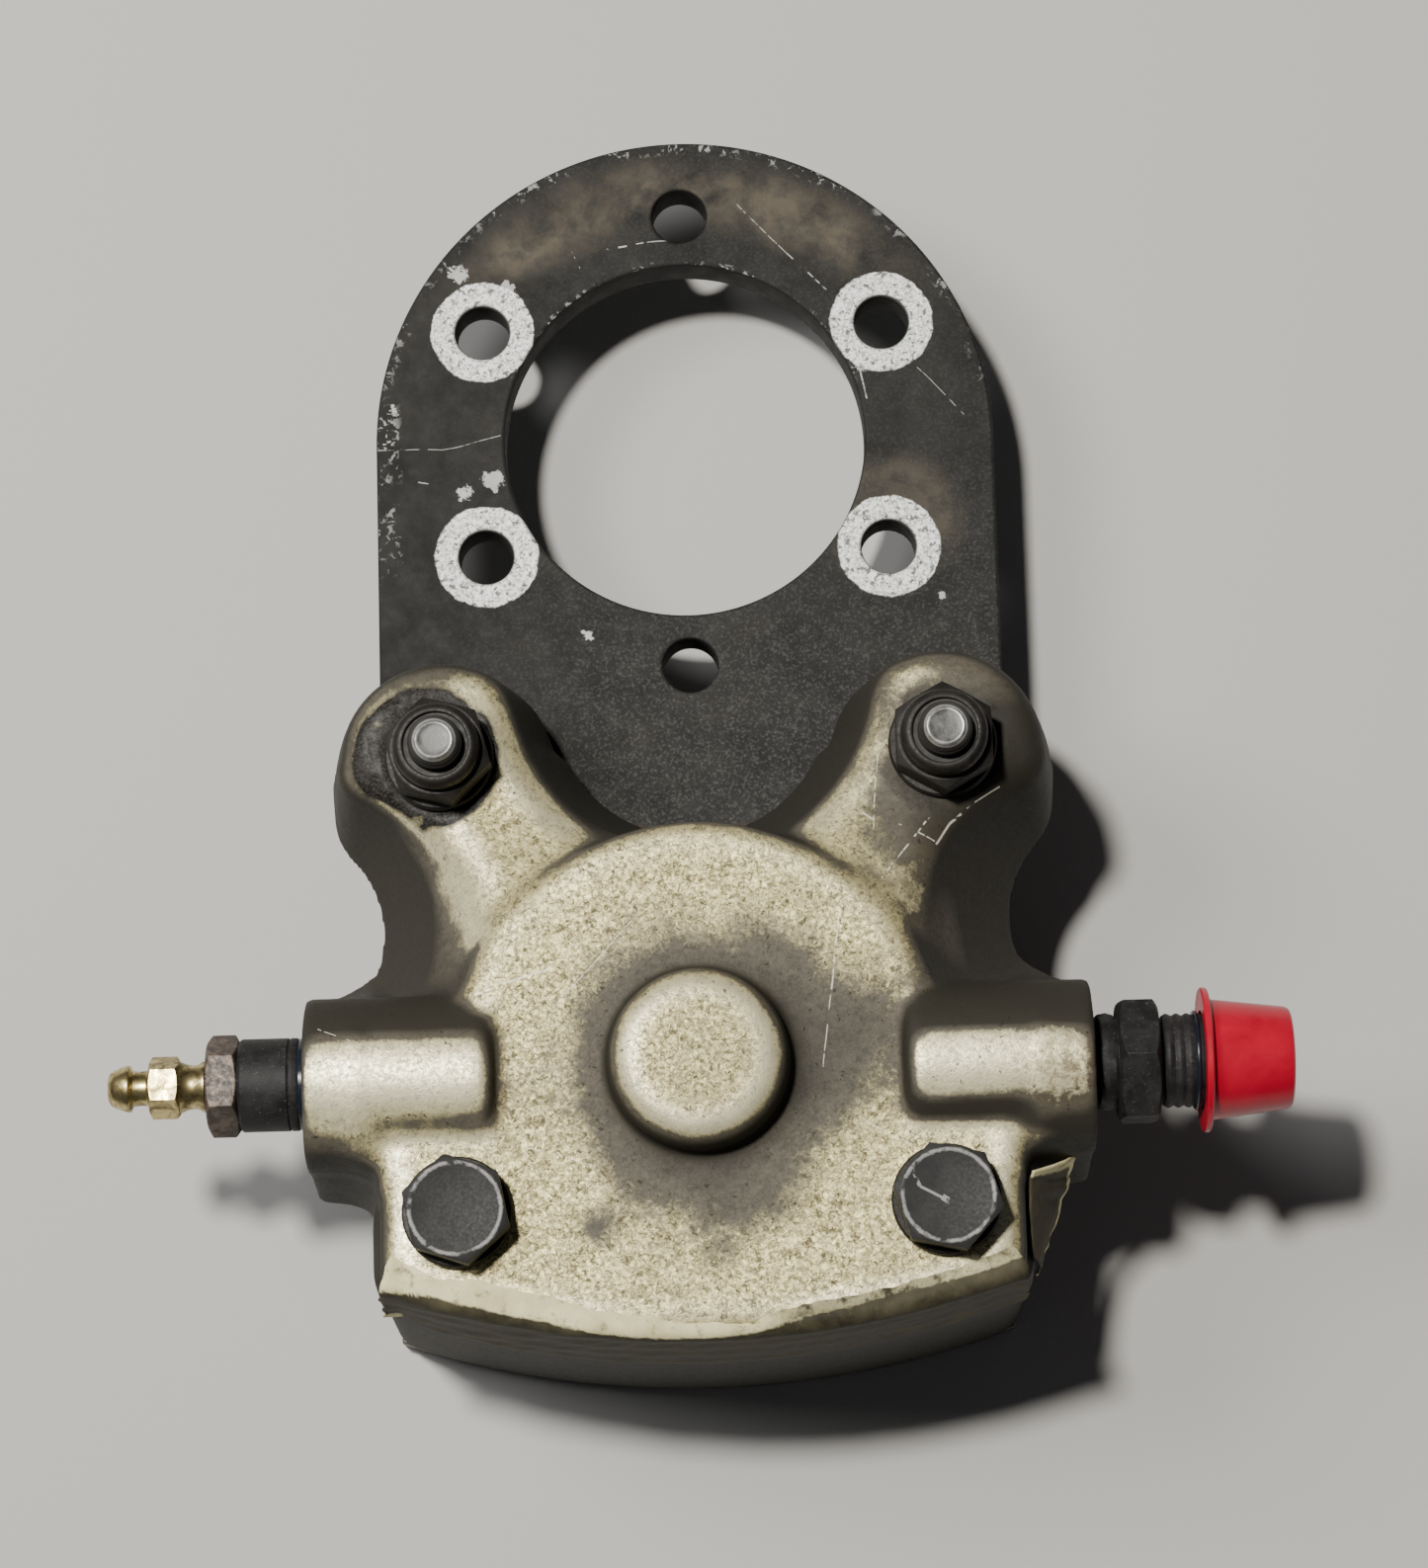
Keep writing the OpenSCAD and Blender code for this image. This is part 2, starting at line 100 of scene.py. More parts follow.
BOLT_CIRCLE_R = 28.575
BORE_PLATE_R = 22.225
BOLT_HOLE_R = 3.35
WASHER_MARK_R = 6.35
PLATE_HALF_W = high("torque_plate")[0]
PLATE_TOP = high("torque_plate")[2]
PLATE_FOOT_R = 60.5
ACROSS_FLATS = 11.11
THREAD_R = 3.17
THREAD_PITCH = 0.907
THREAD_DEPTH = 0.5
TAPE_THICKNESS = 0.22

# ---------------- noise and small maths


def smooth_min(a, b, k):
    h = np.maximum(k - np.abs(a - b), 0) / k
    return np.minimum(a, b) - h * h * k / 4


def smooth_max(a, b, k):
    return -smooth_min(-a, -b, k)


def ease(value, start, end):
    """0 before start and 1 after end, with a smooth step between. start may be the larger."""
    t = np.clip((value - start) / (end - start), 0, 1)
    return t * t * (3 - 2 * t)


def corners(base, f):
    """The eight corners of the cells at base, each with its indices and its weight at places f
    within the cells."""
    for i in (0, 1):
        for j in (0, 1):
            for k in (0, 1):
                weight = (np.where(i, f[:, 0], 1 - f[:, 0]) * np.where(j, f[:, 1], 1 - f[:, 1])
                          * np.where(k, f[:, 2], 1 - f[:, 2]))
                yield weight, base[:, 0] + i, base[:, 1] + j, base[:, 2] + k


def value_noise(points, size, seed):
    """Smooth random values in -1..1 at (n, 3) points, with features about size across."""
    period = 24
    lattice = np.random.RandomState(seed).uniform(-1, 1, (period, period, period))
    p = points / size
    base = np.floor(p).astype(int)
    f = p - base
    f = f * f * (3 - 2 * f)
    total = np.zeros(len(points))
    for weight, i, j, k in corners(base, f):
        total += weight * lattice[i % period, j % period, k % period]
    return total


# ---------------- mesh helpers


def add_object(name, data):
    obj = bpy.data.objects.new(name, data)
    bpy.context.scene.collection.objects.link(obj)
    return obj


def new_object(name, points, faces, sharp_angle=None):
    """A mesh object from points in millimetres and faces, shaded smooth but for its sharp edges."""
    mesh = bpy.data.meshes.new(name)
    mesh.from_pydata([Vector(p) * MM for p in points], [], faces)
    mesh.validate()
    mesh.update()
    mesh.polygons.foreach_set("use_smooth", [True] * len(mesh.polygons))
    if sharp_angle:
        mesh.set_sharp_from_angle(angle=math.radians(sharp_angle))
    return add_object(name, mesh)


def stand_in(obj, node, look):
    """obj is the visible form of a CAD node, with its body and material slot."""
    obj.data.materials.clear()
    obj.data.materials.append(look)
    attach(obj, BODY_OF[node])
    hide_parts(node)


def hexagon(across_flats, turn):
    """A radius that follows a hexagon, with a corner at the angle turn, in degrees."""
    def radius(angle):
        part = (math.degrees(angle) - turn) % 60 - 30
        return across_flats / 2 / math.cos(math.radians(part))
    return radius


def hex_rows(across_flats, z0, z1, turn, chamfer_low=True):
    """The outside of a hexagonal bar from z0 to z1, with its corners chamfered at 28 degrees."""
    edge = hexagon(across_flats, turn)
    circle = across_flats / 2 * 0.965
    fall = math.tan(math.radians(28))
    rows = []
    if chamfer_low:
        rows.append((circle, z0))
        rows.append((edge, lambda a: z0 + (edge(a) - circle) * fall))
    else:
        rows.append((edge, z0))
    rows.append((edge, lambda a: z1 - (edge(a) - circle) * fall))
    rows.append((circle, z1))
    return rows


def thread_rows(radius, z0, z1, pitch, depth):
    """Rings that stand for a thread's ridges, from z0 to z1."""
    rows = []
    count = max(1, int(round(abs(z1 - z0) / pitch)))
    step = (z1 - z0) / count
    for i in range(count):
        z = z0 + i * step
        rows += [(radius - depth, z), (radius - 0.04, z + 0.38 * step), (radius - 0.04, z + 0.55 * step)]
    rows.append((radius - depth, z1))
    return rows


def spin(name, rows, origin, axis="Z", steps=72, closed=False, bevel=0.0):
    """Turns rows of (radius, height) round an axis. Either may be a function of the angle.
    closed joins the last row to the first, which makes a ring. A radius of 0 makes a point."""
    turn = {"Z": Matrix.Identity(3), "X": Euler((0, math.pi / 2, 0)).to_matrix(),
            "-X": Euler((0, -math.pi / 2, 0)).to_matrix()}[axis]
    points, rings = [], []
    for radius, height in rows:
        if not callable(radius) and radius < 1e-6:
            rings.append([len(points)] * steps)
            points.append(turn @ Vector((0, 0, height)) + Vector(origin))
            continue
        ring = []
        for i in range(steps):
            a = 2 * math.pi * i / steps
            r = radius(a) if callable(radius) else radius
            z = height(a) if callable(height) else height
            ring.append(len(points))
            points.append(turn @ Vector((r * math.cos(a), r * math.sin(a), z)) + Vector(origin))
        rings.append(ring)
    faces = []
    pairs = list(zip(rings, rings[1:] + rings[:1])) if closed else list(zip(rings, rings[1:]))
    for lower, upper in pairs:
        for i in range(steps):
            j = (i + 1) % steps
            face = [lower[i], lower[j], upper[j], upper[i]]
            face = [v for k, v in enumerate(face) if v != face[k - 1]]
            if len(face) > 2:
                faces.append(face)
    obj = new_object(name, points, faces, sharp_angle=32)
    if bevel:
        add_bevel(obj, bevel)
    return obj


def add_bevel(obj, width):
    mod = obj.modifiers.new("edge", "BEVEL")
    mod.width = width * MM
    mod.segments = 2
    mod.limit_method = "ANGLE"
    mod.angle_limit = math.radians(30)


def paint(obj, name, values):
    """Stores one number per point on a mesh, for its material to read."""
    obj.data.attributes.new(name, "FLOAT", "POINT").data.foreach_set("value", np.array(values, np.float32))


def arc(radius, start, end, count, cx=0, cy=0):
    """count points of an arc between two angles in radians, both ends included."""
    return [(cx + radius * math.cos(a), cy + radius * math.sin(a)) for a in np.linspace(start, end, count)]


def circle_loop(cx, cy, radius, steps):
    return arc(radius, 0, 2 * math.pi, steps + 1, cx, cy)[:-1]


def flat_plate(name, loops, z0, z1, edge):
    """A plate between two heights from closed outlines, the first outside and the rest holes,
    with its edges rounded by edge."""
    curve = bpy.data.curves.new(name, "CURVE")
    curve.dimensions = "2D"
    curve.fill_mode = "BOTH"
    curve.extrude = ((z1 - z0) / 2 - edge) * MM
    curve.bevel_depth = edge * MM
    curve.bevel_resolution = 3
    curve.offset = -edge * MM
    for loop in loops:
        spline = curve.splines.new("POLY")
        spline.points.add(len(loop) - 1)
        for point, (x, y) in zip(spline.points, loop):
            point.co = (x * MM, y * MM, 0, 1)
        spline.use_cyclic_u = True
    temp = add_object(name + "_curve", curve)
    bpy.context.view_layer.update()
    mesh = bpy.data.meshes.new_from_object(temp)
    bpy.data.objects.remove(temp)
    mesh.name = name
    mesh.transform(Matrix.Translation((0, 0, (z0 + z1) / 2 * MM)))
    mesh.polygons.foreach_set("use_smooth", [True] * len(mesh.polygons))
    mesh.set_sharp_from_angle(angle=math.radians(40))
    return add_object(name, mesh)


# ---------------- materials


class Value:
    """One output of a material's node. Arithmetic on values adds nodes to that material."""

    def __init__(self, look, socket):
        self.look = look
        self.socket = socket

    def __add__(self, other):
        return self.look.math("ADD", self, other)

    def __sub__(self, other):
        return self.look.math("SUBTRACT", self, other)

    def __rsub__(self, other):
        return self.look.math("SUBTRACT", other, self)

    def __mul__(self, other):
        return self.look.math("MULTIPLY", self, other)

    def __abs__(self):
        return self.look.math("ABSOLUTE", self)


class Look:
    """A node material made by short calls. Lengths are in millimetres."""

    SOCKETS = {"colour": "Base Color", "metallic": "Metallic", "roughness": "Roughness", "normal": "Normal",
               "coat": "Coat Weight", "specular": "Specular IOR Level", "subsurface": "Subsurface Weight",
               "subsurface_radius": "Subsurface Radius"}

    def __init__(self, name):
        self.material = bpy.data.materials.new(name)
        self.material.use_nodes = True
        self.nodes = self.material.node_tree.nodes
        self.links = self.material.node_tree.links
        self.shader = self.nodes["Principled BSDF"]
        self.coord = self.add("TexCoord", {}, "Object")

    def put(self, socket, value):
        if isinstance(value, Value):
            self.links.new(value.socket, socket)
        elif hasattr(socket.default_value, "__len__") and len(socket.default_value) == 4:
            socket.default_value = (*value[:3], 1)
        else:
            socket.default_value = value

    def finish(self, **values):
        """Sets the surface's values and returns the material."""
        for key, value in values.items():
            self.put(self.shader.inputs[self.SOCKETS[key]], value)
        return self.material

    def add(self, kind, inputs, output=0, **settings):
        """A new node's output. inputs and output go by the sockets' names or numbers."""
        node = self.nodes.new("ShaderNode" + kind)
        for key, value in settings.items():
            setattr(node, key, value)
        for key, value in inputs.items():
            self.put(node.inputs[key], value)
        return Value(self, node.outputs[output])

    def attribute(self, name):
        return self.add("Attribute", {}, "Fac", attribute_name=name)

    def noise(self, size, detail, roughness=0.55, distortion=0.0, stretch=None, offset=0.0):
        vector = self.coord
        if stretch or offset:
            vector = self.add("Mapping", {"Vector": self.coord, "Scale": stretch or (1, 1, 1),
                                          "Location": (offset, offset * 0.7, offset * 0.3)})
        return self.add("TexNoise", {"Vector": vector, "Scale": 1 / (size * MM), "Detail": detail,
                                     "Roughness": roughness, "Distortion": distortion}, "Fac")

    def cells(self, size):
        return self.add("TexVoronoi", {"Vector": self.coord, "Scale": 1 / (size * MM)}, "Distance")

    def math(self, operation, a, b=0.0, c=0.0):
        return self.add("Math", {0: a, 1: b, 2: c}, operation=operation)

    def larger(self, first, *others):
        for other in others:
            first = self.math("MAXIMUM", first, other)
        return first

    def remap(self, value, start, end, to_start=0.0, to_end=1.0, smooth=False):
        """value taken from the range start..end to the range to_start..to_end, and held within it."""
        return self.add("MapRange", {0: value, 1: start, 2: end, 3: to_start, 4: to_end},
                        interpolation_type="SMOOTHSTEP" if smooth else "LINEAR")

    def limit(self, value):
        """value, held between 0 and 1."""
        return self.remap(value, 0, 1)

    def mix(self, factor, a, b):
        return self.add("Mix", {"Factor": factor, 6: a, 7: b}, 2, data_type="RGBA")

    def vary(self, noise, start, end):
        """A number between start and end that follows a noise, whose values are mostly 0.3 to 0.7."""
        return self.remap(noise, 0.3, 0.7, start, end)

    def blend(self, value, start, end, a, b):
        """Colour a where value is at start or beyond it, and colour b at end."""
        return self.mix(self.remap(value, start, end), a, b)

    def away(self, centre):
        """Distance in millimetres from a line along Z through a point of the XY plane."""
        scale = (1 / MM, 1 / MM, 0)
        shift = (-centre[0], -centre[1], 0)
        flat = self.add("VectorMath", {0: self.coord, 1: scale, 2: shift}, operation="MULTIPLY_ADD")
        return self.add("VectorMath", {0: flat}, "Value", operation="LENGTH")

    def along(self, x, y, z):
        """Position in millimetres along a direction."""
        return self.add("VectorMath", {0: self.coord, 1: (x / MM, y / MM, z / MM)}, "Value",
                        operation="DOT_PRODUCT")

    def scratch(self, start, end, width, wander):
        """1 on a thin line between two points of the XY plane, in millimetres, and 0 elsewhere."""
        length = math.dist(start, end)
        dx, dy = (end[0] - start[0]) / length, (end[1] - start[1]) / length
        along = self.along(dx, dy, 0) - (start[0] * dx + start[1] * dy)
        across = self.along(-dy, dx, 0) - (start[1] * dx - start[0] * dy)
        near = self.math("COMPARE", across, wander, width / 2)
        return near * self.math("COMPARE", along, length / 2, length / 2)

    def scratches(self, lines):
        """A mask of broken, slightly wavy scratches, each given by its ends and its width."""
        wander = (self.noise(6, 1) - 0.5) * 0.5
        total = self.larger(*[self.scratch(start, end, width, wander) for start, end, width in lines])
        return total * self.remap(self.noise(1.2, 2), 0.42, 0.5)

    def bump(self, height, distance, strength, normal=None):
        inputs = {"Height": height, "Distance": distance * MM, "Strength": strength}
        if normal:
            inputs["Normal"] = normal
        return self.add("Bump", inputs, "Normal")


CASTING_SCRATCHES = [
    ((16.6, -64.0), (15.4, -74.0), 0.16), ((15.4, -74.0), (14.2, -82.5), 0.10),
    ((-25.6, -72.8), (-16.6, -70.0), 0.22), ((-17.5, -75.5), (-7.0, -64.5), 0.10),
    ((-20.5, -64.5), (-13.5, -67.5), 0.12), ((21.7, -60.1), (27.6, -52.8), 0.18),
    ((24.0, -53.5), (28.1, -55.6), 0.14), ((28.3, -55.9), (30.0, -53.4), 0.22),
    ((30.0, -53.4), (32.4, -51.2), 0.26), ((32.4, -51.2), (36.0, -49.0), 0.14),
    ((19.7, -51.9), (21.0, -52.9), 0.20), ((21.8, -45.0), (21.0, -54.0), 0.12),
    ((-43.5, -76.5), (-36.5, -79.5), 0.08), ((-20.0, -90.5), (-12.0, -93.0), 0.08),
    ((18.0, -88.0), (24.0, -91.5), 0.10),
]


def casting_look():
    """Aged cast metal: worn bright, with painted highlights, on crests and ridges, sparkling where
    uncovered, and grimy with painted shade elsewhere.
    """
    look = Look("aged_casting")
    grime_and_shade, wear_and_highlight, stain, crust = [look.attribute(name) for name in ("grime_and_shade", "wear_and_highlight", "stain", "crust")]
    grain = look.noise(0.55, 4, 0.75, 0.9)
    speck = look.noise(0.28, 2, 0.6, offset=3.0)
    blotch = look.noise(5.0, 5, 0.7, 0.6)
    mottle = look.noise(1.5, 4, 0.7, 0.3, offset=6.0)
    pits = look.remap(look.noise(0.8, 2, 0.6, 0.4, offset=9.0), 0.69, 0.72)
    stained = look.limit(stain * look.remap(mottle, 0.40, 0.56))
    crusty = look.remap(crust, 0.25, 0.6)
    # How much dirt and painted shade cover the metal, from 0 to 1.
    coverage = grime_and_shade + look.vary(blotch, -0.22, 0.26) + look.vary(mottle, -0.13, 0.15)
    coverage = look.limit(look.limit(coverage - wear_and_highlight * 0.5) + stained * 0.8)
    uncovered = 1 - coverage

    grit = grain + look.vary(mottle, -0.07, 0.07)
    metal = look.blend(grit, 0.36, 0.64, (0.115, 0.096, 0.044), (0.90, 0.80, 0.42))
    polish_and_highlight = wear_and_highlight * look.remap(grain, 0.34, 0.58, 0.40, 0.95)
    metal = look.mix(polish_and_highlight, metal, (0.97, 0.91, 0.66))
    metal = look.mix(stained * 0.8, metal, (0.15, 0.10, 0.04))
    dirt_and_shade = look.blend(mottle, 0.35, 0.65, (0.052, 0.047, 0.036), (0.098, 0.089, 0.069))
    dirt_and_shade = look.mix(look.remap(grain, 0.35, 0.65, 0.0, 0.30), dirt_and_shade, (0.21, 0.185, 0.135))
    dirt_and_shade = look.mix(stained, dirt_and_shade, (0.060, 0.040, 0.018))
    colour = look.mix(look.remap(coverage, 0.12, 0.85, smooth=True), metal, dirt_and_shade)
    # Painted shade: where the mark from creases, steep walls and the dome's flank passes 0.95, the colour
    # goes nearly black.
    colour = look.blend(grime_and_shade, 0.95, 1.5, colour, (0.027, 0.0245, 0.018))
    colour = look.mix(pits * 0.75, colour, (0.030, 0.022, 0.015))
    colour = look.mix(look.scratches(CASTING_SCRATCHES) * 0.8, colour, (0.80, 0.77, 0.66))
    greasy = look.blend(speck, 0.42, 0.68, (0.006, 0.005, 0.0045), (0.045, 0.040, 0.033))
    colour = look.mix(crusty, colour, greasy)

    shine = look.remap(grain, 0.40, 0.62, 0.25, 0.75) * look.remap(wear_and_highlight, 0, 1, 1, 0.9) * uncovered
    rough = look.vary(grain, 0.62, 0.44) - wear_and_highlight * 0.12 + coverage * 0.12
    bump = look.bump(look.noise(2.4, 2, 0.5, offset=1.0), 0.10, 0.5)
    relief = look.remap(uncovered * look.remap(wear_and_highlight, 0, 1, 1, 0.35), 0.1, 0.9, 0.25, 1.0)
    bump = look.bump(grain, 0.07, relief, bump)
    bump = look.bump(pits, -0.10, 0.7, bump)
    return look.finish(colour=colour, metallic=shine * (1 - crusty), specular=0.3, roughness=rough,
                       normal=look.bump(speck, 0.03, 0.5, bump))


PLATE_SCRATCHES = [
    ((7.3, 29.9), (13.0, 23.7), 0.10), ((13.0, 23.7), (18.6, 18.0), 0.16),
    ((-38.0, -0.4), (-30.0, -0.6), 0.08), ((-30.0, -0.6), (-22.7, 1.0), 0.07),
    ((29.0, 8.4), (34.6, 2.2), 0.07), ((-30.0, 23.8), (-26.0, 20.4), 0.35),
    ((-9.1, 24.6), (-6.6, 25.0), 0.22), ((-5.4, 25.2), (0.3, 25.6), 0.12),
    ((-33.0, -4.6), (-30.0, -5.2), 0.12), ((-12.5, 22.2), (-13.5, 24.4), 0.08),
    ((21.2, 12.0), (22.6, 4.5), 0.2),
]
# Places where the plate's paint is chipped off: x, y and radius.
PLATE_CHIPS = [
    (-23.7, -4.7, 1.2), (-27.6, 21.8, 1.0), (-27.3, -6.0, 0.7), (-35.9, 4.7, 0.5),
    (-21.5, 19.8, 0.8), (22.2, 8.8, 1.0), (-12.5, -24.5, 0.4), (31.0, -20.5, 0.3),
]


def washer_rings(look):
    """A mask of the four round marks that washers left on the plate."""
    wobble = (look.noise(1.6, 3, 0.6, offset=5.0) - 0.5) * 0.8
    rings = []
    for angle in (30, 150, 210, 330):
        a = math.radians(angle)
        spot = look.away((BOLT_CIRCLE_R * math.cos(a), BOLT_CIRCLE_R * math.sin(a))) + wobble
        rings.append(look.remap(spot, WASHER_MARK_R + 0.10, WASHER_MARK_R - 0.10))
    return look.larger(*rings)


def missing_paint(look, from_axis, height):
    """A mask of bare flecks at the bore's upper rim, the left edge and the top edge, and of chips."""
    bore_rim = look.remap(from_axis, 23.0, 22.4) * look.remap(height, 6, 14)
    left_edge = look.remap(look.along(-1, 0, 0), 34.8, 36.2) * look.remap(abs(height + 6), 12, 8)
    top_edge = look.remap(from_axis, 36.4, 37.4) * look.remap(height, 4, 14)
    zone = look.larger(bore_rim, left_edge, top_edge * 0.7)
    fleck = look.remap(look.noise(1.1, 3, 0.7, 0.5, offset=7.0), 0.56, 0.60) * zone
    fleck = fleck * look.remap(look.noise(7, 2, offset=4.0), 0.42, 0.55)
    ragged = (look.noise(0.9, 3, 0.7, offset=8.0) - 0.5) * 3.0
    chips = [look.remap(look.away((x, y)) + ragged, radius + 0.12, radius - 0.12)
             for x, y, radius in PLATE_CHIPS]
    return look.larger(fleck, *chips)


def plate_look():
    """Charcoal paint, dusty over the top arc, with bare rings where four washers sat."""
    look = Look("plate_paint")
    grain = look.noise(0.36, 3, 0.7)
    cloud = look.noise(9, 5, 0.6, 0.4)
    fine = look.noise(2.2, 4, 0.65, offset=2.0)
    height = look.along(0, 1, 0)
    level = look.along(0, 0, 1)
    from_axis = look.away((0, 0))
    on_face = look.remap(level, PLATE_TOP - 0.15, PLATE_TOP - 0.05)
    colour = look.blend(cloud, 0.3, 0.7, (0.013, 0.0125, 0.012), (0.028, 0.0265, 0.024))
    lit = look.remap(grain, 0.50, 0.66) * look.remap(height, 0, -35, 0.2, 0.62)
    lit = lit * look.remap(look.along(1, 0, 0), -34, -8, 0.1, 1.0)
    colour = look.mix(lit * on_face, colour, (0.100, 0.099, 0.093))
    # Tan dust lies in an arc about the top hole, and as a halo by the lower right washer mark.
    dusty = look.remap(abs(from_axis - 31.5), 5.5, 1.5) * look.remap(height, 17, 24, smooth=True)
    halo = look.remap(look.away((25.5, -11.0)), 9.5, 6.5, 0.0, 0.6)
    dust = look.larger(dusty, halo) * look.remap(cloud, 0.34, 0.60)
    dust = dust * look.remap(fine, 0.35, 0.55, 0.35, 1.0)
    colour = look.mix(dust * on_face * 0.85, colour, (0.125, 0.106, 0.078))
    paintless = missing_paint(look, from_axis, height)
    bright_marks = look.larger(paintless, look.scratches(PLATE_SCRATCHES)) * on_face
    colour = look.mix(bright_marks * 0.8, colour, (0.60, 0.60, 0.57))
    shine = look.blend(grain, 0.38, 0.56, (0.44, 0.455, 0.44), (1.0, 1.0, 0.98))
    spots = look.noise(0.8, 3, 0.7, offset=11.0)
    shine = look.blend(spots, 0.56, 0.60, shine, (0.20, 0.20, 0.19))
    shine = look.blend(level, PLATE_TOP - 0.05, PLATE_TOP - 0.2, shine, (0.15, 0.155, 0.14))
    bare = washer_rings(look) * look.remap(level, PLATE_TOP - 0.7, PLATE_TOP - 0.55)
    return look.finish(colour=look.mix(bare, colour, shine), specular=0.22,
                       metallic=look.larger(bare, bright_marks) * 0.45,
                       roughness=look.vary(fine, 0.60, 0.78),
                       normal=look.bump(bare, -0.06, 0.6, look.bump(grain, 0.04, 0.8)))


def steel_look(name, dark, light, roughness, metallic, ring=None, marks=()):
    """Dark plated or oily steel. ring is the (centre, radius, width) of a worn circle round a bolt's head,
    and marks are scratches on it."""
    look = Look(name)
    fine = look.noise(0.4, 3, 0.65)
    colour = look.blend(look.noise(3.0, 4, 0.6, 0.3, offset=1.5), 0.32, 0.68, dark, light)
    if ring:
        centre, radius, width = ring
        wobble = (look.noise(1.0, 3, 0.7, offset=5.0) - 0.5) * 0.5
        mask = look.remap(abs(look.away(centre) - radius + wobble), width, width * 0.3)
        mask = mask * look.remap(look.noise(1.6, 3, 0.6, offset=6.0), 0.36, 0.5)
        if marks:
            mask = look.larger(mask, look.scratches(marks))
        colour = look.mix(mask * 0.85, colour, (0.34, 0.335, 0.32))
    return look.finish(colour=colour, metallic=metallic, specular=0.3,
                       roughness=look.vary(fine, roughness - 0.08, roughness + 0.14),
                       normal=look.bump(fine, 0.03, 0.6))


def bleeder_look():
    """Tarnished brass."""
    look = Look("bleeder_brass")
    cloud = look.noise(1.6, 4, 0.65, 0.8)
    return look.finish(colour=look.blend(cloud, 0.36, 0.62, (0.17, 0.13, 0.055), (0.66, 0.55, 0.27)),
                       metallic=0.95, roughness=look.remap(cloud, 0.35, 0.65, 0.42, 0.24),
                       normal=look.bump(look.noise(0.4, 3, 0.6), 0.02, 0.5))


def rust_look():
    """Brown rust, rubbed down to steel in patches, with more bare steel on the flats that face the front as
    a painted sheen.
    """
    look = Look("rusty_steel")
    fine = look.noise(0.35, 3, 0.6)
    patch = look.noise(1.3, 4, 0.7, 0.5)
    # Painted sheen: the flats that face the front get more bare, bright steel.
    facing = look.remap(look.along(0, 0, 1), PORT_Z + 5.0, PORT_Z + 5.8, 0.25, 1.0)
    bared_and_sheen = look.remap(patch, 0.46, 0.58) * facing
    return look.finish(colour=look.mix(bared_and_sheen, (0.040, 0.027, 0.020), (0.34, 0.26, 0.20)),
                       metallic=bared_and_sheen * 0.7, roughness=look.vary(fine, 0.42, 0.62),
                       normal=look.bump(patch, 0.05, 0.6, look.bump(fine, 0.02, 0.5)))


def black_look():
    """Black oxide, dusty and lumpy with old sealant."""
    look = Look("black_fitting")
    fine = look.noise(0.4, 3, 0.7)
    lumps = look.noise(0.9, 3, 0.6, offset=4.0)
    cloud = look.noise(2.5, 3, 0.6)
    colour = look.blend(cloud, 0.35, 0.65, (0.010, 0.0098, 0.010), (0.024, 0.0235, 0.024))
    return look.finish(colour=look.blend(fine, 0.60, 0.72, colour, (0.075, 0.071, 0.064)),
                       metallic=0.1, specular=0.3, roughness=look.remap(cloud, 0.35, 0.7, 0.52, 0.66),
                       normal=look.bump(lumps, 0.09, 0.6, look.bump(fine, 0.05, 0.7)))


def rubber_look():
    look = Look("seal_rubber")
    return look.finish(colour=(0.010, 0.014, 0.024),
                       roughness=look.vary(look.noise(1.0, 2), 0.16, 0.30),
                       normal=look.bump(look.noise(0.3, 2), 0.01, 0.4))


def cap_look():
    """Soft red plastic, a little cloudy, with faint flow lines round it."""
    look = Look("red_plastic")
    cloud = look.noise(5, 4, 0.6, 0.5)
    line = look.noise(0.5, 3, 0.5, stretch=(1.0, 0.08, 0.08))
    return look.finish(colour=look.blend(cloud, 0.3, 0.7, (0.42, 0.0035, 0.022), (0.54, 0.007, 0.032)),
                       roughness=look.vary(cloud, 0.26, 0.36), coat=0.08, specular=0.35,
                       subsurface=0.06, subsurface_radius=(0.004, 0.0008, 0.0005),
                       normal=look.bump(line, 0.015, 0.4, look.bump(look.noise(0.8, 2), 0.01, 0.4)))


def tape_look():
    """Aged crepe paper tape: lit cream where its mark is 1, brown with dirt and painted shade where it is 0,
    with fine creases.
    """
    look = Look("old_tape")
    cloud = look.noise(6, 5, 0.65, 0.4)
    spot = look.noise(1.6, 4, 0.7, offset=2.0)
    crepe = look.noise(0.45, 2, 0.5, stretch=(1.6, 0.5, 0.25))
    cream = look.blend(cloud, 0.3, 0.7, (0.60, 0.54, 0.28), (0.95, 0.88, 0.54))
    brown = look.blend(cloud, 0.35, 0.65, (0.026, 0.023, 0.012), (0.095, 0.084, 0.050))
    ragged = look.attribute("pale_and_lit") + look.vary(spot, -0.2, 0.2)
    colour = look.blend(ragged, 0.3, 0.7, brown, cream)
    colour = look.mix(look.remap(spot, 0.56, 0.72, 0.0, 0.8), colour, (0.085, 0.068, 0.040))
    return look.finish(colour=colour, specular=0.25, roughness=look.vary(cloud, 0.62, 0.78),
                       normal=look.bump(crepe, 0.05, 0.7, look.bump(spot, 0.08, 0.5)))


def lining_look():
    """Dark friction material with coarse chips and a few brass flecks."""
    look = Look("friction_lining")
    chips = look.cells(0.9)
    fine = look.noise(0.3, 3, 0.7)
    colour = look.blend(chips, 0.25, 0.6, (0.13, 0.10, 0.08), (0.045, 0.038, 0.034))
    return look.finish(colour=look.blend(fine, 0.66, 0.72, colour, (0.45, 0.33, 0.16)),
                       roughness=look.vary(fine, 0.72, 0.9), normal=look.bump(chips, 0.06, 0.7))


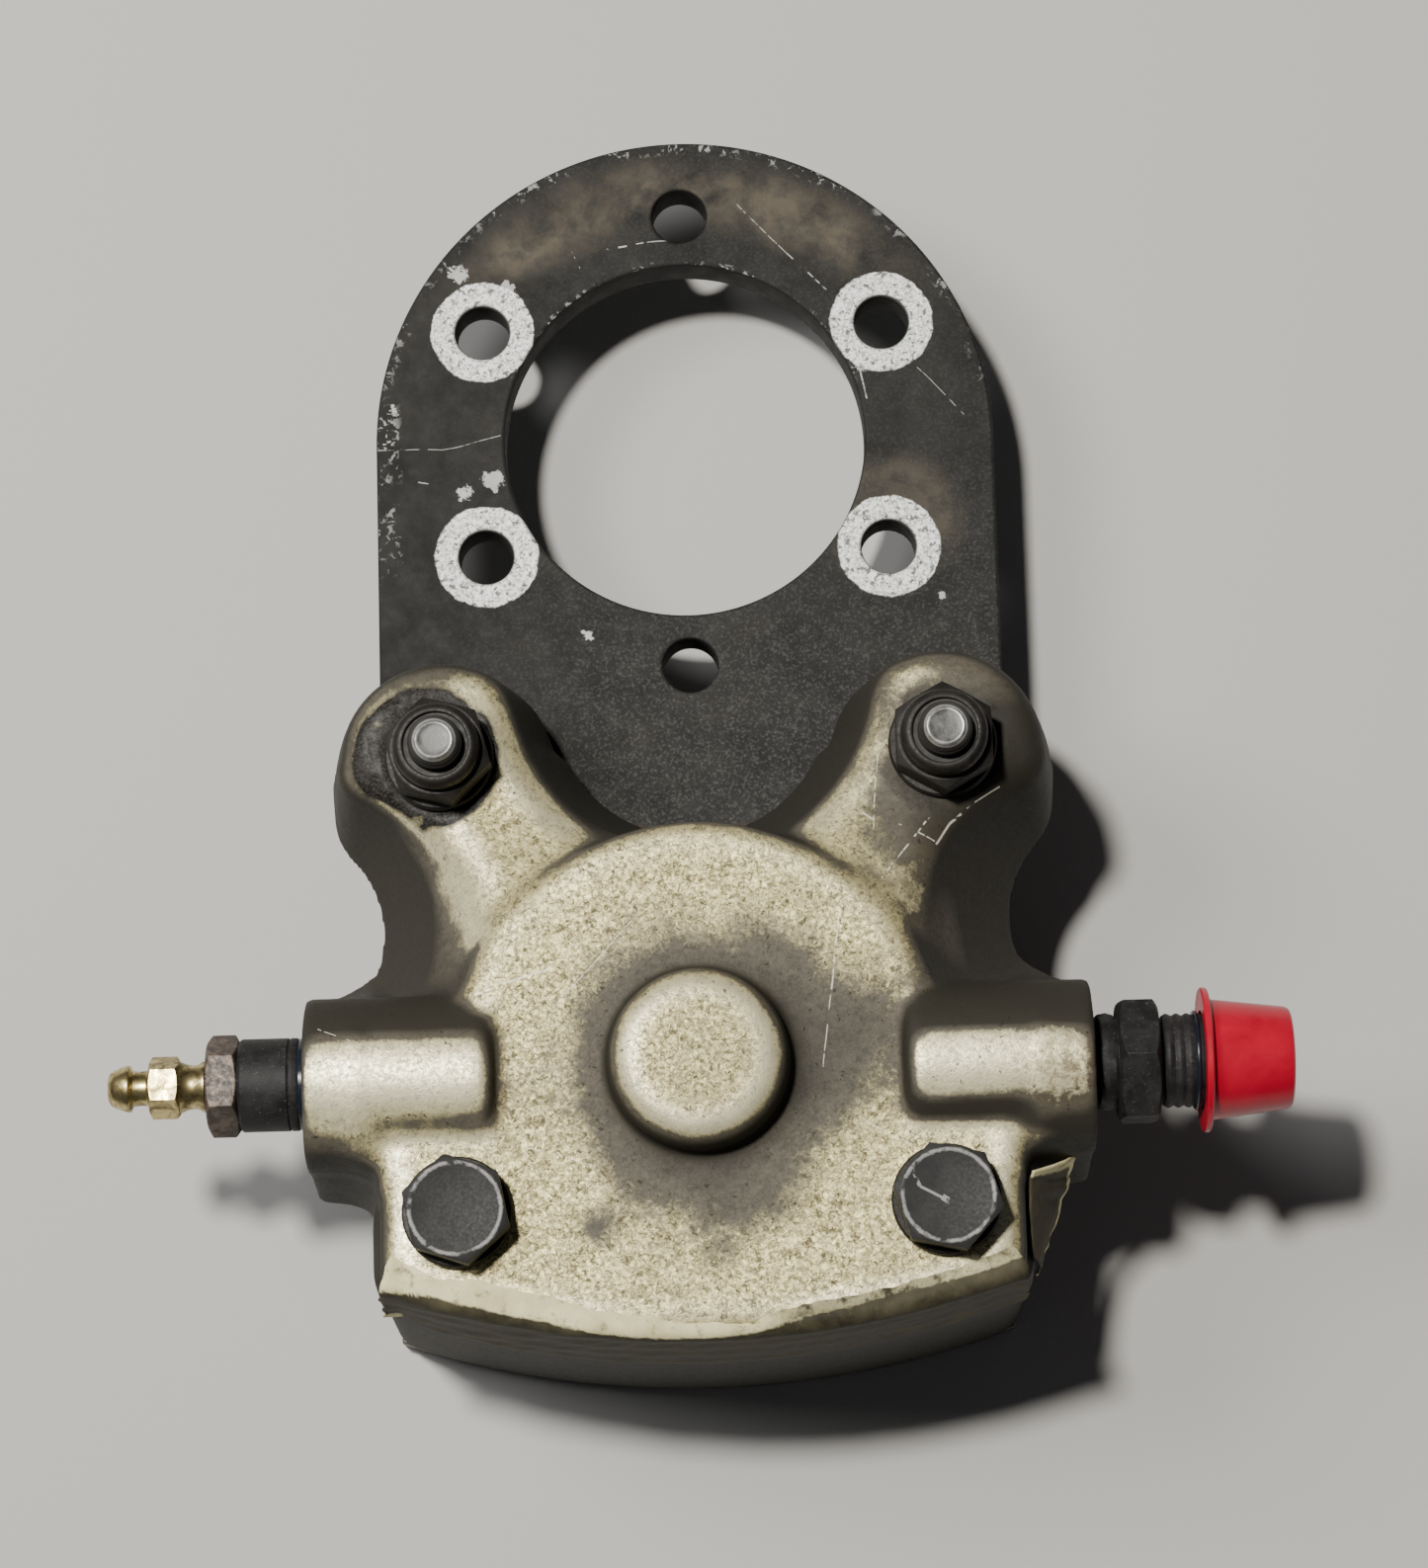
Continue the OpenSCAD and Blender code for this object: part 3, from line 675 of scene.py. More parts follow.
def plain_metal_look(name, colour_a, colour_b, roughness, metallic=0.9):
    """Turned or ground metal with fine lines round Z and a thin film."""
    look = Look(name)
    fine = look.noise(0.35, 3, 0.6, stretch=(0.3, 0.3, 2.5))
    return look.finish(colour=look.blend(look.noise(2.5, 4, 0.6), 0.3, 0.7, colour_a, colour_b),
                       metallic=metallic,
                       roughness=look.vary(fine, roughness - 0.06, roughness + 0.12),
                       normal=look.bump(fine, 0.015, 0.5))


# ---------------- the casting, as one smooth solid

STEP = 0.55
GRID_LOW = np.array([-PORT_X - 2, -FOOT_R - 2, FOOT_BACK - 2])
GRID_HIGH = np.array([PORT_X + 2, PIN_Y + 16, DOME_TOP + 2])


class Field:
    """Signed distances, in millimetres, on a regular grid: negative inside the metal."""

    def __init__(self):
        counts = np.ceil((GRID_HIGH - GRID_LOW) / STEP).astype(int) + 1
        axes = [GRID_LOW[i] + STEP * np.arange(counts[i]) for i in range(3)]
        self.x = axes[0].astype(np.float32)[:, None, None]
        self.y = axes[1].astype(np.float32)[None, :, None]
        self.z = axes[2].astype(np.float32)[None, None, :]

    def post(self, cx, cy, radius):
        """A round post along Z. radius may change with height."""
        return np.hypot(self.x - cx, self.y - cy) - radius

    def slab(self, z0, z1):
        return np.abs(self.z - (z0 + z1) / 2) - (z1 - z0) / 2

    def rod(self, radius, x0, x1, round_in=0.8, round_out=0.8):
        """A round rod on the port axis, mirrored to both sides, from x0 to x1 away from the middle."""
        side = np.hypot(self.y - PORT_Y, self.z - PORT_Z) - radius
        reach = np.abs(self.x)
        return smooth_max(smooth_max(side, x0 - reach, round_in), reach - x1, round_out)


def yoke_field(f):
    """Both ears and the web behind them, scooped out at the waists and between the ears."""
    ear_r = 13.7 - (f.z - EAR_BACK) * 0.13
    drop = PIN_Y - f.y
    reach = np.abs(f.x) - PIN_X
    web = np.minimum(np.maximum(reach - ear_r, -drop), np.maximum(reach, -drop - 3.5))
    plan = np.maximum(web, drop - 40)
    for side in (-1, 1):
        plan = smooth_min(plan, f.post(side * PIN_X, PIN_Y, ear_r), 1.0)
    t = np.clip((f.z - 15) / 17, -0.2, 1.25)
    for side in (-1, 1):
        scoop = np.hypot(f.x - side * (50.4 - 8.4 * t), f.y + 62.3 + 1.2 * t) - (13 + 3 * t)
        plan = smooth_max(plan, -scoop * 0.83, 2.4)
    notch = f.post(0, -35, 16.4 + 5.8 * t) * 0.94
    plan = smooth_max(plan, -notch, 2.4)
    late = drop - 6.5
    rise = 0.27 * (late + np.sqrt(late * late + 1.5)) / 2
    top = np.minimum(EAR_TOP + rise, FACE - 0.9)
    yoke = smooth_max(plan, f.z - top, 3.6)
    return smooth_max(yoke, EAR_BACK - f.z, 0.8)


def foot_wall(f):
    """The foot's outer radius, which leans in towards the front."""
    return FOOT_R - (f.z - FOOT_BACK) * FOOT_DRAFT / (FACE - FOLD - FOOT_BACK)


def body_field(f):
    """The drum and the lower half, which share one front face."""
    drum = smooth_max(f.post(0, CYL_Y, DRUM_R), DRUM_BACK - f.z, 0.8)
    sides = np.abs(f.x) - (BLOCK_X - (f.z - SLAB_BACK) * 0.07)
    block = smooth_max(np.hypot(f.x, f.y) - foot_wall(f), sides, 3.0)
    block = smooth_max(np.maximum(block, f.y + 80), SLAB_BACK - f.z, 0.8)
    return smooth_max(smooth_min(drum, block, 1.0), f.z - FACE, 3.0)


def foot_field(f):
    """The wall that bridges the disc's rim, with a column round each bolt."""
    rim = np.hypot(f.x, f.y)
    foot = smooth_max(smooth_max(rim - foot_wall(f), FOOT_INNER_R - rim, 1.0), np.abs(f.x) - BLOCK_X, 3.0)
    foot = np.maximum(foot, f.y + 60)
    for side in (-1, 1):
        foot = smooth_min(foot, f.post(side * BOLT_X, BOLT_Y, 7.1), 2.5)
    return smooth_max(foot, f.slab(FOOT_BACK, FACE - 8), 0.6)


def port_field(f):
    """The two port bosses, each on a drafted skirt that runs down to the casting's back."""
    boss = f.rod(PORT_R, PORT_INNER_X, PORT_X, 2.2, 0.8)
    below = np.maximum(PORT_Z - f.z, 0)
    skirt = np.abs(f.y - PORT_Y) - (PORT_R + below * 0.12)
    skirt = smooth_max(skirt, np.abs(f.x) - PORT_X, 3.5)
    skirt = np.maximum(np.maximum(skirt, f.z - PORT_Z), 29 - np.abs(f.x))
    return smooth_min(boss, smooth_max(skirt, EAR_BACK + 0.6 - f.z, 0.8), 0.6)


def port_web(f):
    """The web in the corner below each port: a concave round, level with the front face."""
    radius = 6.0
    out = np.abs(f.x) - (BLOCK_X - (f.z - SLAB_BACK) * 0.07)
    down = PORT_Y - 7.0 - (FACE - f.z) * 0.2 - f.y
    web = radius - np.hypot(np.maximum(radius - out, 0), np.maximum(radius - down, 0))
    web = np.maximum(np.maximum(web, down - radius), np.maximum(f.y - PORT_Y, 33 - np.abs(f.x)))
    web = smooth_max(web, np.abs(f.x) - (PORT_X - 0.4), 2.0)
    web = smooth_max(web, f.z - (FACE - 0.3 - 0.12 * np.maximum(out, 0)), 2.5)
    return smooth_max(web, SLAB_BACK - f.z, 0.8)


def dome_field(f):
    from_axis = f.post(0, CYL_Y, 0)
    crown = DOME_TOP - 0.004 * from_axis * from_axis
    dome = smooth_max(from_axis - (10.6 - (f.z - FACE) * 0.05), f.z - crown, 3.8)
    return smooth_max(dome, FACE - 4 - f.z, 1.0)


def casting_field(f):
    solid = smooth_min(yoke_field(f), body_field(f), 2.2)
    solid = smooth_min(solid, port_web(f), 1.0)
    reach = np.abs(f.x)
    solid = smooth_min(solid, port_field(f), 1.1 + 3.6 * ease(reach, 35.5, 39.5))
    solid = smooth_min(solid, foot_field(f), 1.5)
    solid = smooth_min(solid, dome_field(f), 1.3)
    holes = [smooth_max(f.post(0, CYL_Y, BORE_R), f.z - 30, 0.5),
             smooth_max(f.post(0, CYL_Y, 7), f.z - 36, 1.0),
             f.rod(4.25, 33, 60), f.rod(2.0, 15, 50)]
    for side in (-1, 1):
        holes.append(f.post(side * PIN_X, PIN_Y, 3.4))
        holes.append(f.post(side * BOLT_X, BOLT_Y, 3.4))
    for hole in holes:
        solid = smooth_max(solid, -hole, 0.5)
    return solid.astype(np.float32)


def sample(field, points):
    """The field's value at (n, 3) points, between the grid's."""
    p = (points - GRID_LOW) / STEP
    base = np.clip(np.floor(p).astype(int), 0, np.array(field.shape) - 2)
    total = 0
    for weight, i, j, k in corners(base, np.clip(p - base, 0, 1)):
        total = total + weight * field[i, j, k]
    return total


def slope(field, points, reach=0.5):
    """The field's unit gradient, which points out of the metal."""
    parts = []
    for axis in range(3):
        step = np.zeros(3)
        step[axis] = reach
        parts.append(sample(field, points + step) - sample(field, points - step))
    g = np.stack(parts, 1)
    return g / np.maximum(np.linalg.norm(g, axis=1, keepdims=True), 1e-9)


def surface_of(field):
    """Points and quads of the zero surface, one point to each grid cell that it crosses."""
    inside = field < 0
    cells = np.array(field.shape) - 1
    stride = np.array([cells[1] * cells[2], cells[2], 1])
    sums = [np.zeros(np.prod(cells)) for _ in range(3)]
    count = np.zeros(np.prod(cells))
    quads = []
    for axis in range(3):
        a = [slice(None)] * 3
        b = [slice(None)] * 3
        a[axis] = slice(0, -1)
        b[axis] = slice(1, None)
        fa, fb = field[tuple(a)], field[tuple(b)]
        ia = inside[tuple(a)]
        at = np.argwhere(ia != inside[tuple(b)])
        keep = np.all((at > 0) & (at < cells - 1), axis=1)
        at = at[keep]
        va, vb = fa[tuple(at.T)], fb[tuple(at.T)]
        place = at.astype(float)
        place[:, axis] += va / (va - vb)
        u, v = [(1, 2), (2, 0), (0, 1)][axis]
        around = []
        for du, dv in ((0, 0), (1, 0), (1, 1), (0, 1)):
            cell = at.copy()
            cell[:, u] -= du
            cell[:, v] -= dv
            index = cell @ stride
            for k in range(3):
                sums[k] += np.bincount(index, place[:, k], len(count))
            count += np.bincount(index, minlength=len(count))
            around.append(index)
        quad = np.stack(around, 1)
        outward = ia[tuple(at.T)]
        quad[outward] = quad[outward][:, ::-1]
        quads.append(quad)
    used = np.flatnonzero(count)
    number = np.full(len(count), -1)
    number[used] = np.arange(len(used))
    points = np.stack([s[used] / count[used] for s in sums], 1) * STEP + GRID_LOW
    return points, number[np.concatenate(quads)]


def mesh_from_arrays(name, points, quads):
    """A smooth mesh from arrays of points, in millimetres, and of quads."""
    mesh = bpy.data.meshes.new(name)
    mesh.vertices.add(len(points))
    mesh.vertices.foreach_set("co", (points * MM).astype(np.float32).ravel())
    mesh.loops.add(quads.size)
    mesh.loops.foreach_set("vertex_index", quads.astype(np.int32).ravel())
    mesh.polygons.add(len(quads))
    mesh.polygons.foreach_set("loop_start", np.arange(0, quads.size, 4, dtype=np.int32))
    mesh.polygons.foreach_set("use_smooth", np.ones(len(quads), bool))
    mesh.update(calc_edges=True)
    mesh.validate()
    return mesh


# Soft patches of grime on the casting's front: x, y, radius and amount. A negative amount is cleaner.
PATCHES = [
    (30, -42, 16, 0.80), (41, -44, 10, 0.60), (-31, -34, 9, 0.90), (-43, -44, 9, 0.75), (-39, -54, 7, 0.15),
    (27, -53, 10, 0.75), (33, -43, 13, 0.45), (39, -45, 7, 0.7), (15, -85, 8, 0.35), (11, -72, 8, 0.25),
    (4, -98, 9, 0.50), (-6, -94, 8, 0.30), (-17, -99, 10, -0.25), (22, -104, 11, -0.35), (20, -77, 8, 0.75),
    (-24, -71, 7, -0.30), (0, -58, 11, -0.10), (27, -71, 6, 0.40), (-33, -74, 5, 0.15), (-7, -60, 6, 0.25),
    (-28, -45, 13, -0.10), (-18, -83, 5, 0.15), (-12, -100, 4, 0.95), (24, -56, 6, 0.20),
]
# Painted highlights on the ridges of the left ear, which face the light: x, y, radius and amount.
RIDGE_HIGHLIGHTS = [
    (-36.6, -49.8, 3, 0.45), (-33.5, -52.4, 3, 0.60), (-30.6, -55.0, 3, 0.70), (-28.5, -58.4, 3, 0.80),
    (-26.8, -62.0, 3, 0.80), (-25.7, -65.3, 3, 0.55), (-22.0, -41.5, 3, 0.30), (-20.0, -46.4, 3, 0.30),
]
# Brown stains, mostly in creases and on the right port: x, y, radius and amount.
STAINS = [
    (-32, -73, 6, 0.9), (-41, -74, 6, 0.5), (42, -77, 9, 0.8), (43, -84, 9, 0.7), (30, -74, 5, 0.5),
    (36, -44, 9, 0.6), (27, -57, 7, 0.5), (25, -66, 6, 0.5), (5, -76, 7, 0.15),
]


def patches(x, y, table):
    total = 0
    for cx, cy, radius, amount in table:
        total = total + amount * np.exp(-((x - cx) ** 2 + (y - cy) ** 2) / (0.5 * radius ** 2))
    return total


def casting_marks(points, normals, field):
    """The surface marks at each point: stain, crust, and wear with painted highlights, from 0 to 1, and
    grime with painted shade, from 0 to 1.6.
    """
    x, y, z = points.T
    ny, nz = normals[:, 1], normals[:, 2]
    up = ease(nz, 0.1, 0.5)
    cloud = value_noise(points, 11, 3) + 0.5 * value_noise(points, 4.5, 4)
    from_axis = np.hypot(x, y - CYL_Y)
    # hollow is high in creases, and inner is low under thin ridges.
    hollow = sum(0.5 * np.clip(1 - sample(field, points + normals * reach) / reach, 0, 1.2)
                 for reach in (1.2, 3.5))
    depth = 2.2
    inner = -sample(field, points - normals * depth) / depth
    on_dome = ease(from_axis, 12.0, 11.2) * ease(z, FACE + 0.5, FACE + 1.5)
    on_drum = ease(from_axis, 31.0, 29.0) * ease(z, FACE - 2.5, FACE - 1.5)
    on_port = ease(np.abs(x), 23.0, 24.5) * ease(np.abs(y - PORT_Y), 9.0, 7.6)
    on_port = on_port * ease(z, PORT_Z, PORT_Z + 2)
    crest = 0.998 * nz - 0.06 * ny
    coverage = patches(x, y, PATCHES) * up
    # Painted highlight on the left ear's ridges, which face the light.
    bright_marks = np.clip(patches(x, y, RIDGE_HIGHLIGHTS), 0, 1) * ease(nz, 0.35, 0.65) * ease(z, 24, 27)
    brown = patches(x, y, STAINS) * (0.6 + 0.6 * cloud)

    # Ridges and crests that face up are brightened: real wear, and a painted highlight where they catch the
    # light.
    wear_and_highlight = np.clip((0.97 - inner) * 7.0, 0, 1) * ease(nz, 0.50, 0.75) * ease(z, 21, 26)
    wear_and_highlight = wear_and_highlight * (1 - ease(hollow, 0.05, 0.25)) * (1 - on_port) * (1 - 0.7 * on_drum)
    # On the ports it follows the crest, tilted a little towards -Y, as a painted highlight on the polished
    # top.
    wear_and_highlight = np.maximum(wear_and_highlight, 0.95 * on_port * ease(crest, 0.86, 0.995))
    dome_rim = on_dome * ease(from_axis, 6.4, 7.4) * ease(from_axis, 9.6, 8.5) * up
    wear_and_highlight = np.maximum(wear_and_highlight * (1 - on_dome), dome_rim * np.clip(0.85 + 0.4 * cloud, 0, 1))
    wear_and_highlight = np.maximum(wear_and_highlight * np.clip(1 - 0.9 * coverage, 0, 1), bright_marks)
    wear_and_highlight = wear_and_highlight * (1 - 0.8 * np.clip(brown, 0, 1))

    # Painted shade: steep walls, the sides of the ports (most of all on the right port and on their upper
    # sides) and the dome's flank are darkened as if turned away from the light.
    steep = ease(nz, 0.80, 0.45) * (1 - 0.8 * on_dome * ease(nz, 0.25, 0.5))
    port_side = on_port * ease(crest, 1.0, 0.78) * np.where(x > 0, 2.6, 0.9) * (1 + 0.6 * ease(ny, 0.0, 0.3))
    ring = ease(from_axis, 9.6, 10.6) * ease(from_axis + 2.5 * cloud - 0.07 * x, 21.5, 11.5) * (1 - on_dome)
    back = ease(z, 27, 23) * 0.6
    # The grime mark is dirt and painted shade: hollow darkens creases as dirt and shade, steep, port_side
    # and the dome term are painted shade, back darkens all below z 23 to 27, and ring, cloud and the patches
    # are dirt.
    grime_and_shade = 0.06 + 0.9 * hollow ** 1.3 + 1.4 * steep + 1.1 * port_side + 0.80 * ring + back + 0.20 * cloud
    grime_and_shade = grime_and_shade + coverage + 0.45 * on_dome * ease(from_axis, 8.8, 10.2) - 1.2 * bright_marks - 0.35 * wear_and_highlight

    crust = np.maximum(ease(np.hypot(x + 31.0, y - PIN_Y), 9.6, 7.6),
                       0.42 * ease(np.hypot(x - 29.0, y - PIN_Y + 0.4), 9.0, 7.2))
    crust = crust * ease(z, 28.5, 30.2) * np.clip(0.9 + 0.5 * value_noise(points, 1.6, 5), 0, 1)
    return {"grime_and_shade": np.clip(grime_and_shade, 0, 1.6), "stain": np.clip(brown + 0.5 * hollow, 0, 1), "wear_and_highlight": wear_and_highlight,
            "crust": np.clip(crust, 0, 1)}


def spread(values, quads, passes):
    """Values at the points, each averaged with its neighbours' a few times."""
    count = np.bincount(quads.ravel(), minlength=len(values))
    for _ in range(passes):
        means = values[quads].mean(axis=1)
        values = np.bincount(quads.ravel(), np.repeat(means, 4), len(values)) / count
    return values


def build_casting():
    field = casting_field(Field())
    points, quads = surface_of(field)
    normals = slope(field, points)
    points = points - normals * sample(field, points)[:, None]
    normals = slope(field, points, 0.9)
    marks = casting_marks(points, normals, field)
    for name in ("grime_and_shade", "wear_and_highlight"):
        marks[name] = spread(marks[name], quads, 3)
    uneven = 0.06 * value_noise(points, 7, 1) + 0.03 * value_noise(points, 2.2, 2) - 0.03
    lumps = 0.25 + 0.45 * np.abs(value_noise(points, 0.9, 6))
    washer = ease(np.hypot(np.abs(points[:, 0]) - PIN_X, points[:, 1] - PIN_Y), 6.2, 6.9)
    uneven = uneven * ease(points[:, 2], EAR_BACK, EAR_BACK + 3) + marks["crust"] * lumps * washer
    points = np.clip(points + normals * uneven[:, None], low("cylinder_casting"), high("cylinder_casting"))
    obj = add_object("casting_shell", mesh_from_arrays("casting_shell", points, quads))
    for name, values in marks.items():
        paint(obj, name, values)
    stand_in(obj, "cylinder_casting", casting_look())


# ---------------- plates

def build_torque_plate(look):
    corner = math.asin(PLATE_HALF_W / PLATE_FOOT_R)
    down = -math.pi / 2
    outline = arc(PLATE_HALF_W, 0, math.pi, 97)
    outline += arc(PLATE_FOOT_R, down - corner, down + corner, 61)
    loops = [outline, circle_loop(0, 0, BORE_PLATE_R, 144)]
    for i in range(6):
        a = math.radians(90 + 60 * i)
        loops.append(circle_loop(BOLT_CIRCLE_R * math.cos(a), BOLT_CIRCLE_R * math.sin(a), BOLT_HOLE_R, 64))
    for side in (-1, 1):
        loops.append(circle_loop(side * PIN_X, PIN_Y, PIN_R + 1.47, 64))
    obj = flat_plate("torque_plate_body", loops, 0, PLATE_TOP, 0.45)
    stand_in(obj, "torque_plate", look)


def build_back_plate(look):
    """The plate under the foot: an arc outside and inside, with a shoulder at each side."""
    half = high("back_plate")[0]
    outer_r = FOOT_R - 0.25
    inner_r = 61.0
    shoulder = (34.2, -91.5)
    down = -math.pi / 2
    outer_angle = math.asin(half / outer_r)
    inner_angle = math.atan2(shoulder[0], -shoulder[1])
    outline = arc(outer_r, down - outer_angle, down + outer_angle, 49)
    outline += [(half, shoulder[1]), shoulder]
    outline += arc(inner_r, down + inner_angle, down - inner_angle, 33)
    outline += [(-shoulder[0], shoulder[1]), (-half, shoulder[1])]
    loops = [outline]
    loops += [circle_loop(side * BOLT_X, BOLT_Y, 3.25, 48) for side in (-1, 1)]
    loops += [circle_loop(x, y, 1.85, 32) for x, y in ((0, -70.5), (-18, -79), (18, -79))]
    obj = flat_plate("back_plate_body", loops, low("back_plate")[2], high("back_plate")[2], 0.3)
    stand_in(obj, "back_plate", look)


# ---------------- fasteners


def upright(node):
    """Where a piece that stands along Z has its axis, as x and y, and its lowest and highest z."""
    x, y, _ = middle(node)
    return x, y, low(node)[2], high(node)[2]


def build_washer(node, look):
    x, y, z0, z1 = upright(node)
    outer = span(node)[0] / 2
    rows = [(3.3, z0), (outer - 0.15, z0), (outer, z0 + 0.2), (outer, z1 - 0.3), (outer - 0.22, z1),
            (3.3, z1)]
    obj = spin(node + "_ring", rows, (x, y, 0), steps=96, closed=True)
    stand_in(obj, node, look)


def build_bolt(node, turn, marks=()):
    """A hexagon bolt, with the washer face under its head and a worn rim on top. marks are scratches."""
    x, y, z0, top = upright(node)
    seat = high("bolt_washer_left")[2]
    half = ACROSS_FLATS / 2
    rows = [(0, z0), (2.5, z0), (3.1, z0 + 0.7), (3.1, z0 + 1.0)]
    rows += thread_rows(THREAD_R, z0 + 1.0, FOOT_BACK + 1, THREAD_PITCH, THREAD_DEPTH)
    rows += [(3.1, FOOT_BACK + 1.2), (3.1, seat), (half - 0.15, seat), (half - 0.1, seat + 0.25)]
    rows += hex_rows(ACROSS_FLATS, seat + 0.25, top, turn, chamfer_low=False)
    rows += [(half * 0.93, top), (half * 0.90, top - 0.06), (0, top - 0.06)]
    look = steel_look(node, (0.022, 0.021, 0.021), (0.036, 0.035, 0.034), 0.58, 0.15,
                      ring=((x, y), half * 0.935, 0.30), marks=marks)
    obj = spin(node + "_body", rows, (x, y, 0), steps=120, bevel=0.07)
    stand_in(obj, node, look)


def build_nut(node, turn, look):
    """A self-locking nut: chamfered hexagon, round collar, and the lip that holds the insert."""
    x, y, z0, top = upright(node)
    hex_top = z0 + 4.65
    rows = [(3.25, z0)]
    rows += hex_rows(ACROSS_FLATS, z0, hex_top, turn)
    rows += [(5.05, hex_top - 0.02), (4.95, hex_top + 0.35), (5.02, hex_top + 0.7), (5.0, top - 0.9),
             (4.8, top - 0.4), (4.4, top - 0.08), (4.0, top), (3.8, top - 0.06), (3.75, top - 0.3),
             (4.15, top - 0.6), (4.15, hex_top + 0.3), (3.25, hex_top + 0.3)]
    obj = spin(node + "_body", rows, (x, y, 0), steps=120, closed=True, bevel=0.06)
    stand_in(obj, node, look)


def pin_look(node):
    """Ground steel. The stud's tip is grey with a bright edge, and the thread below it is dark with oil."""
    look = Look(node)
    tip = high(node)[2]
    cloud = look.noise(1.2, 4, 0.65)
    height = look.along(0, 0, 1)
    dark = look.remap(height, EAR_BACK, EAR_BACK + 1) * look.remap(height, tip - 0.3, tip - 0.5)
    inner = look.remap(look.away(middle(node)), 2.05, 1.85) * look.remap(height, tip - 0.3, tip - 0.2)
    bright = look.blend(cloud, 0.3, 0.7, (0.42, 0.42, 0.41), (0.72, 0.72, 0.71))
    end_grey = look.blend(cloud, 0.4, 0.6, (0.045, 0.045, 0.042), (0.115, 0.115, 0.108))
    return look.finish(colour=look.mix(dark, look.mix(inner, bright, end_grey), (0.022, 0.020, 0.018)),
                       metallic=look.remap(look.larger(dark, inner), 0, 1, 0.95, 0.1),
                       roughness=look.vary(cloud, 0.34, 0.50),
                       normal=look.bump(look.noise(0.25, 2, 0.6), 0.02, 0.5, look.bump(cloud, 0.04, 0.5)))


def build_pin(node):
    x, y, z0, tip = upright(node)
    rows = [(0, z0), (PIN_R - 1.1, z0), (PIN_R, z0 + 1.1), (PIN_R, EAR_BACK - 0.4), (PIN_R - 0.3, EAR_BACK),
            (3.15, EAR_BACK), (3.15, EAR_TOP - 2)]
    rows += thread_rows(THREAD_R, EAR_TOP - 2, tip - 0.95, THREAD_PITCH, THREAD_DEPTH)
    rows += [(2.9, tip - 0.9), (2.35, tip - 0.22), (2.2, tip - 0.04), (2.08, tip), (1.95, tip - 0.05),
             (1.2, tip - 0.08), (0, tip - 0.09)]
    obj = spin(node + "_body", rows, (x, y, 0), steps=72)
    stand_in(obj, node, pin_look(node))


# ---------------- brake line fittings


def port_piece(node, rows, axis, look, steps=96, bevel=0.0):
    """A hollow turned piece on the port axis. Heights are distances from the casting's middle."""
    obj = spin(node + "_body", rows, (0, PORT_Y, PORT_Z), axis, steps, closed=True, bevel=bevel)
    stand_in(obj, node, look)


def build_bleeder(black, rust, brass, rubber):
    ring = -high("port_seal_ring")[0], -low("port_seal_ring")[0]
    rows = [(4.3, ring[0]), (5.2, ring[0]), (5.35, ring[0] + 0.2), (5.35, ring[1] - 0.2), (5.2, ring[1]),
            (4.3, ring[1])]
    port_piece("port_seal_ring", rows, "-X", rubber)
    start, end = ring[1], -high("bleeder_jam_nut")[0]
    inner = -high("bleeder_adapter")[0]
    nut_end = -low("bleeder_jam_nut")[0]
    rows = [(2.46, inner), (3.8, inner), (4.2, inner + 0.5)]
    rows += [(4.2, start), (5.25, start), (5.4, start + 0.25), (5.4, start + 0.9), (5.25, start + 1.05),
             (5.4, start + 1.25), (5.4, end - 0.35), (5.15, end), (3.2, end), (3.2, nut_end - 0.1),
             (2.9, nut_end), (2.46, nut_end)]
    port_piece("bleeder_adapter", rows, "-X", black)
    across = span("bleeder_jam_nut")[2]
    rows = [(3.25, end)] + hex_rows(across, end, nut_end, 30) + [(3.6, nut_end), (3.25, nut_end - 0.35)]
    port_piece("bleeder_jam_nut", rows, "-X", rust, steps=120, bevel=0.1)
    tip = -low("bleeder_screw")[0]
    base = nut_end + 0.3
    inner = -high("bleeder_screw")[0]
    rows = [(0.82, 44), (1.2, inner + 1.0), (2.4, inner + 3), (2.4, base), (3.0, base), (2.95, base + 0.35),
            (2.62, base + 0.9), (2.55, base + 1.5), (2.66, base + 2.2), (3.0, base + 2.95)]
    rows += hex_rows(6.35, base + 3.0, base + 6.5, 30)
    rows += [(2.3, base + 6.55), (2.05, base + 6.8), (2.0, base + 7.7), (2.1, base + 8.4),
             (2.35, base + 8.6), (2.68, base + 8.75), (2.74, base + 9.0), (2.68, base + 9.35),
             (2.25, tip - 0.75), (1.9, tip - 0.25),
             (1.45, tip), (1.0, tip - 0.05), (0.82, tip - 0.5)]
    port_piece("bleeder_screw", rows, "-X", brass, steps=120, bevel=0.05)


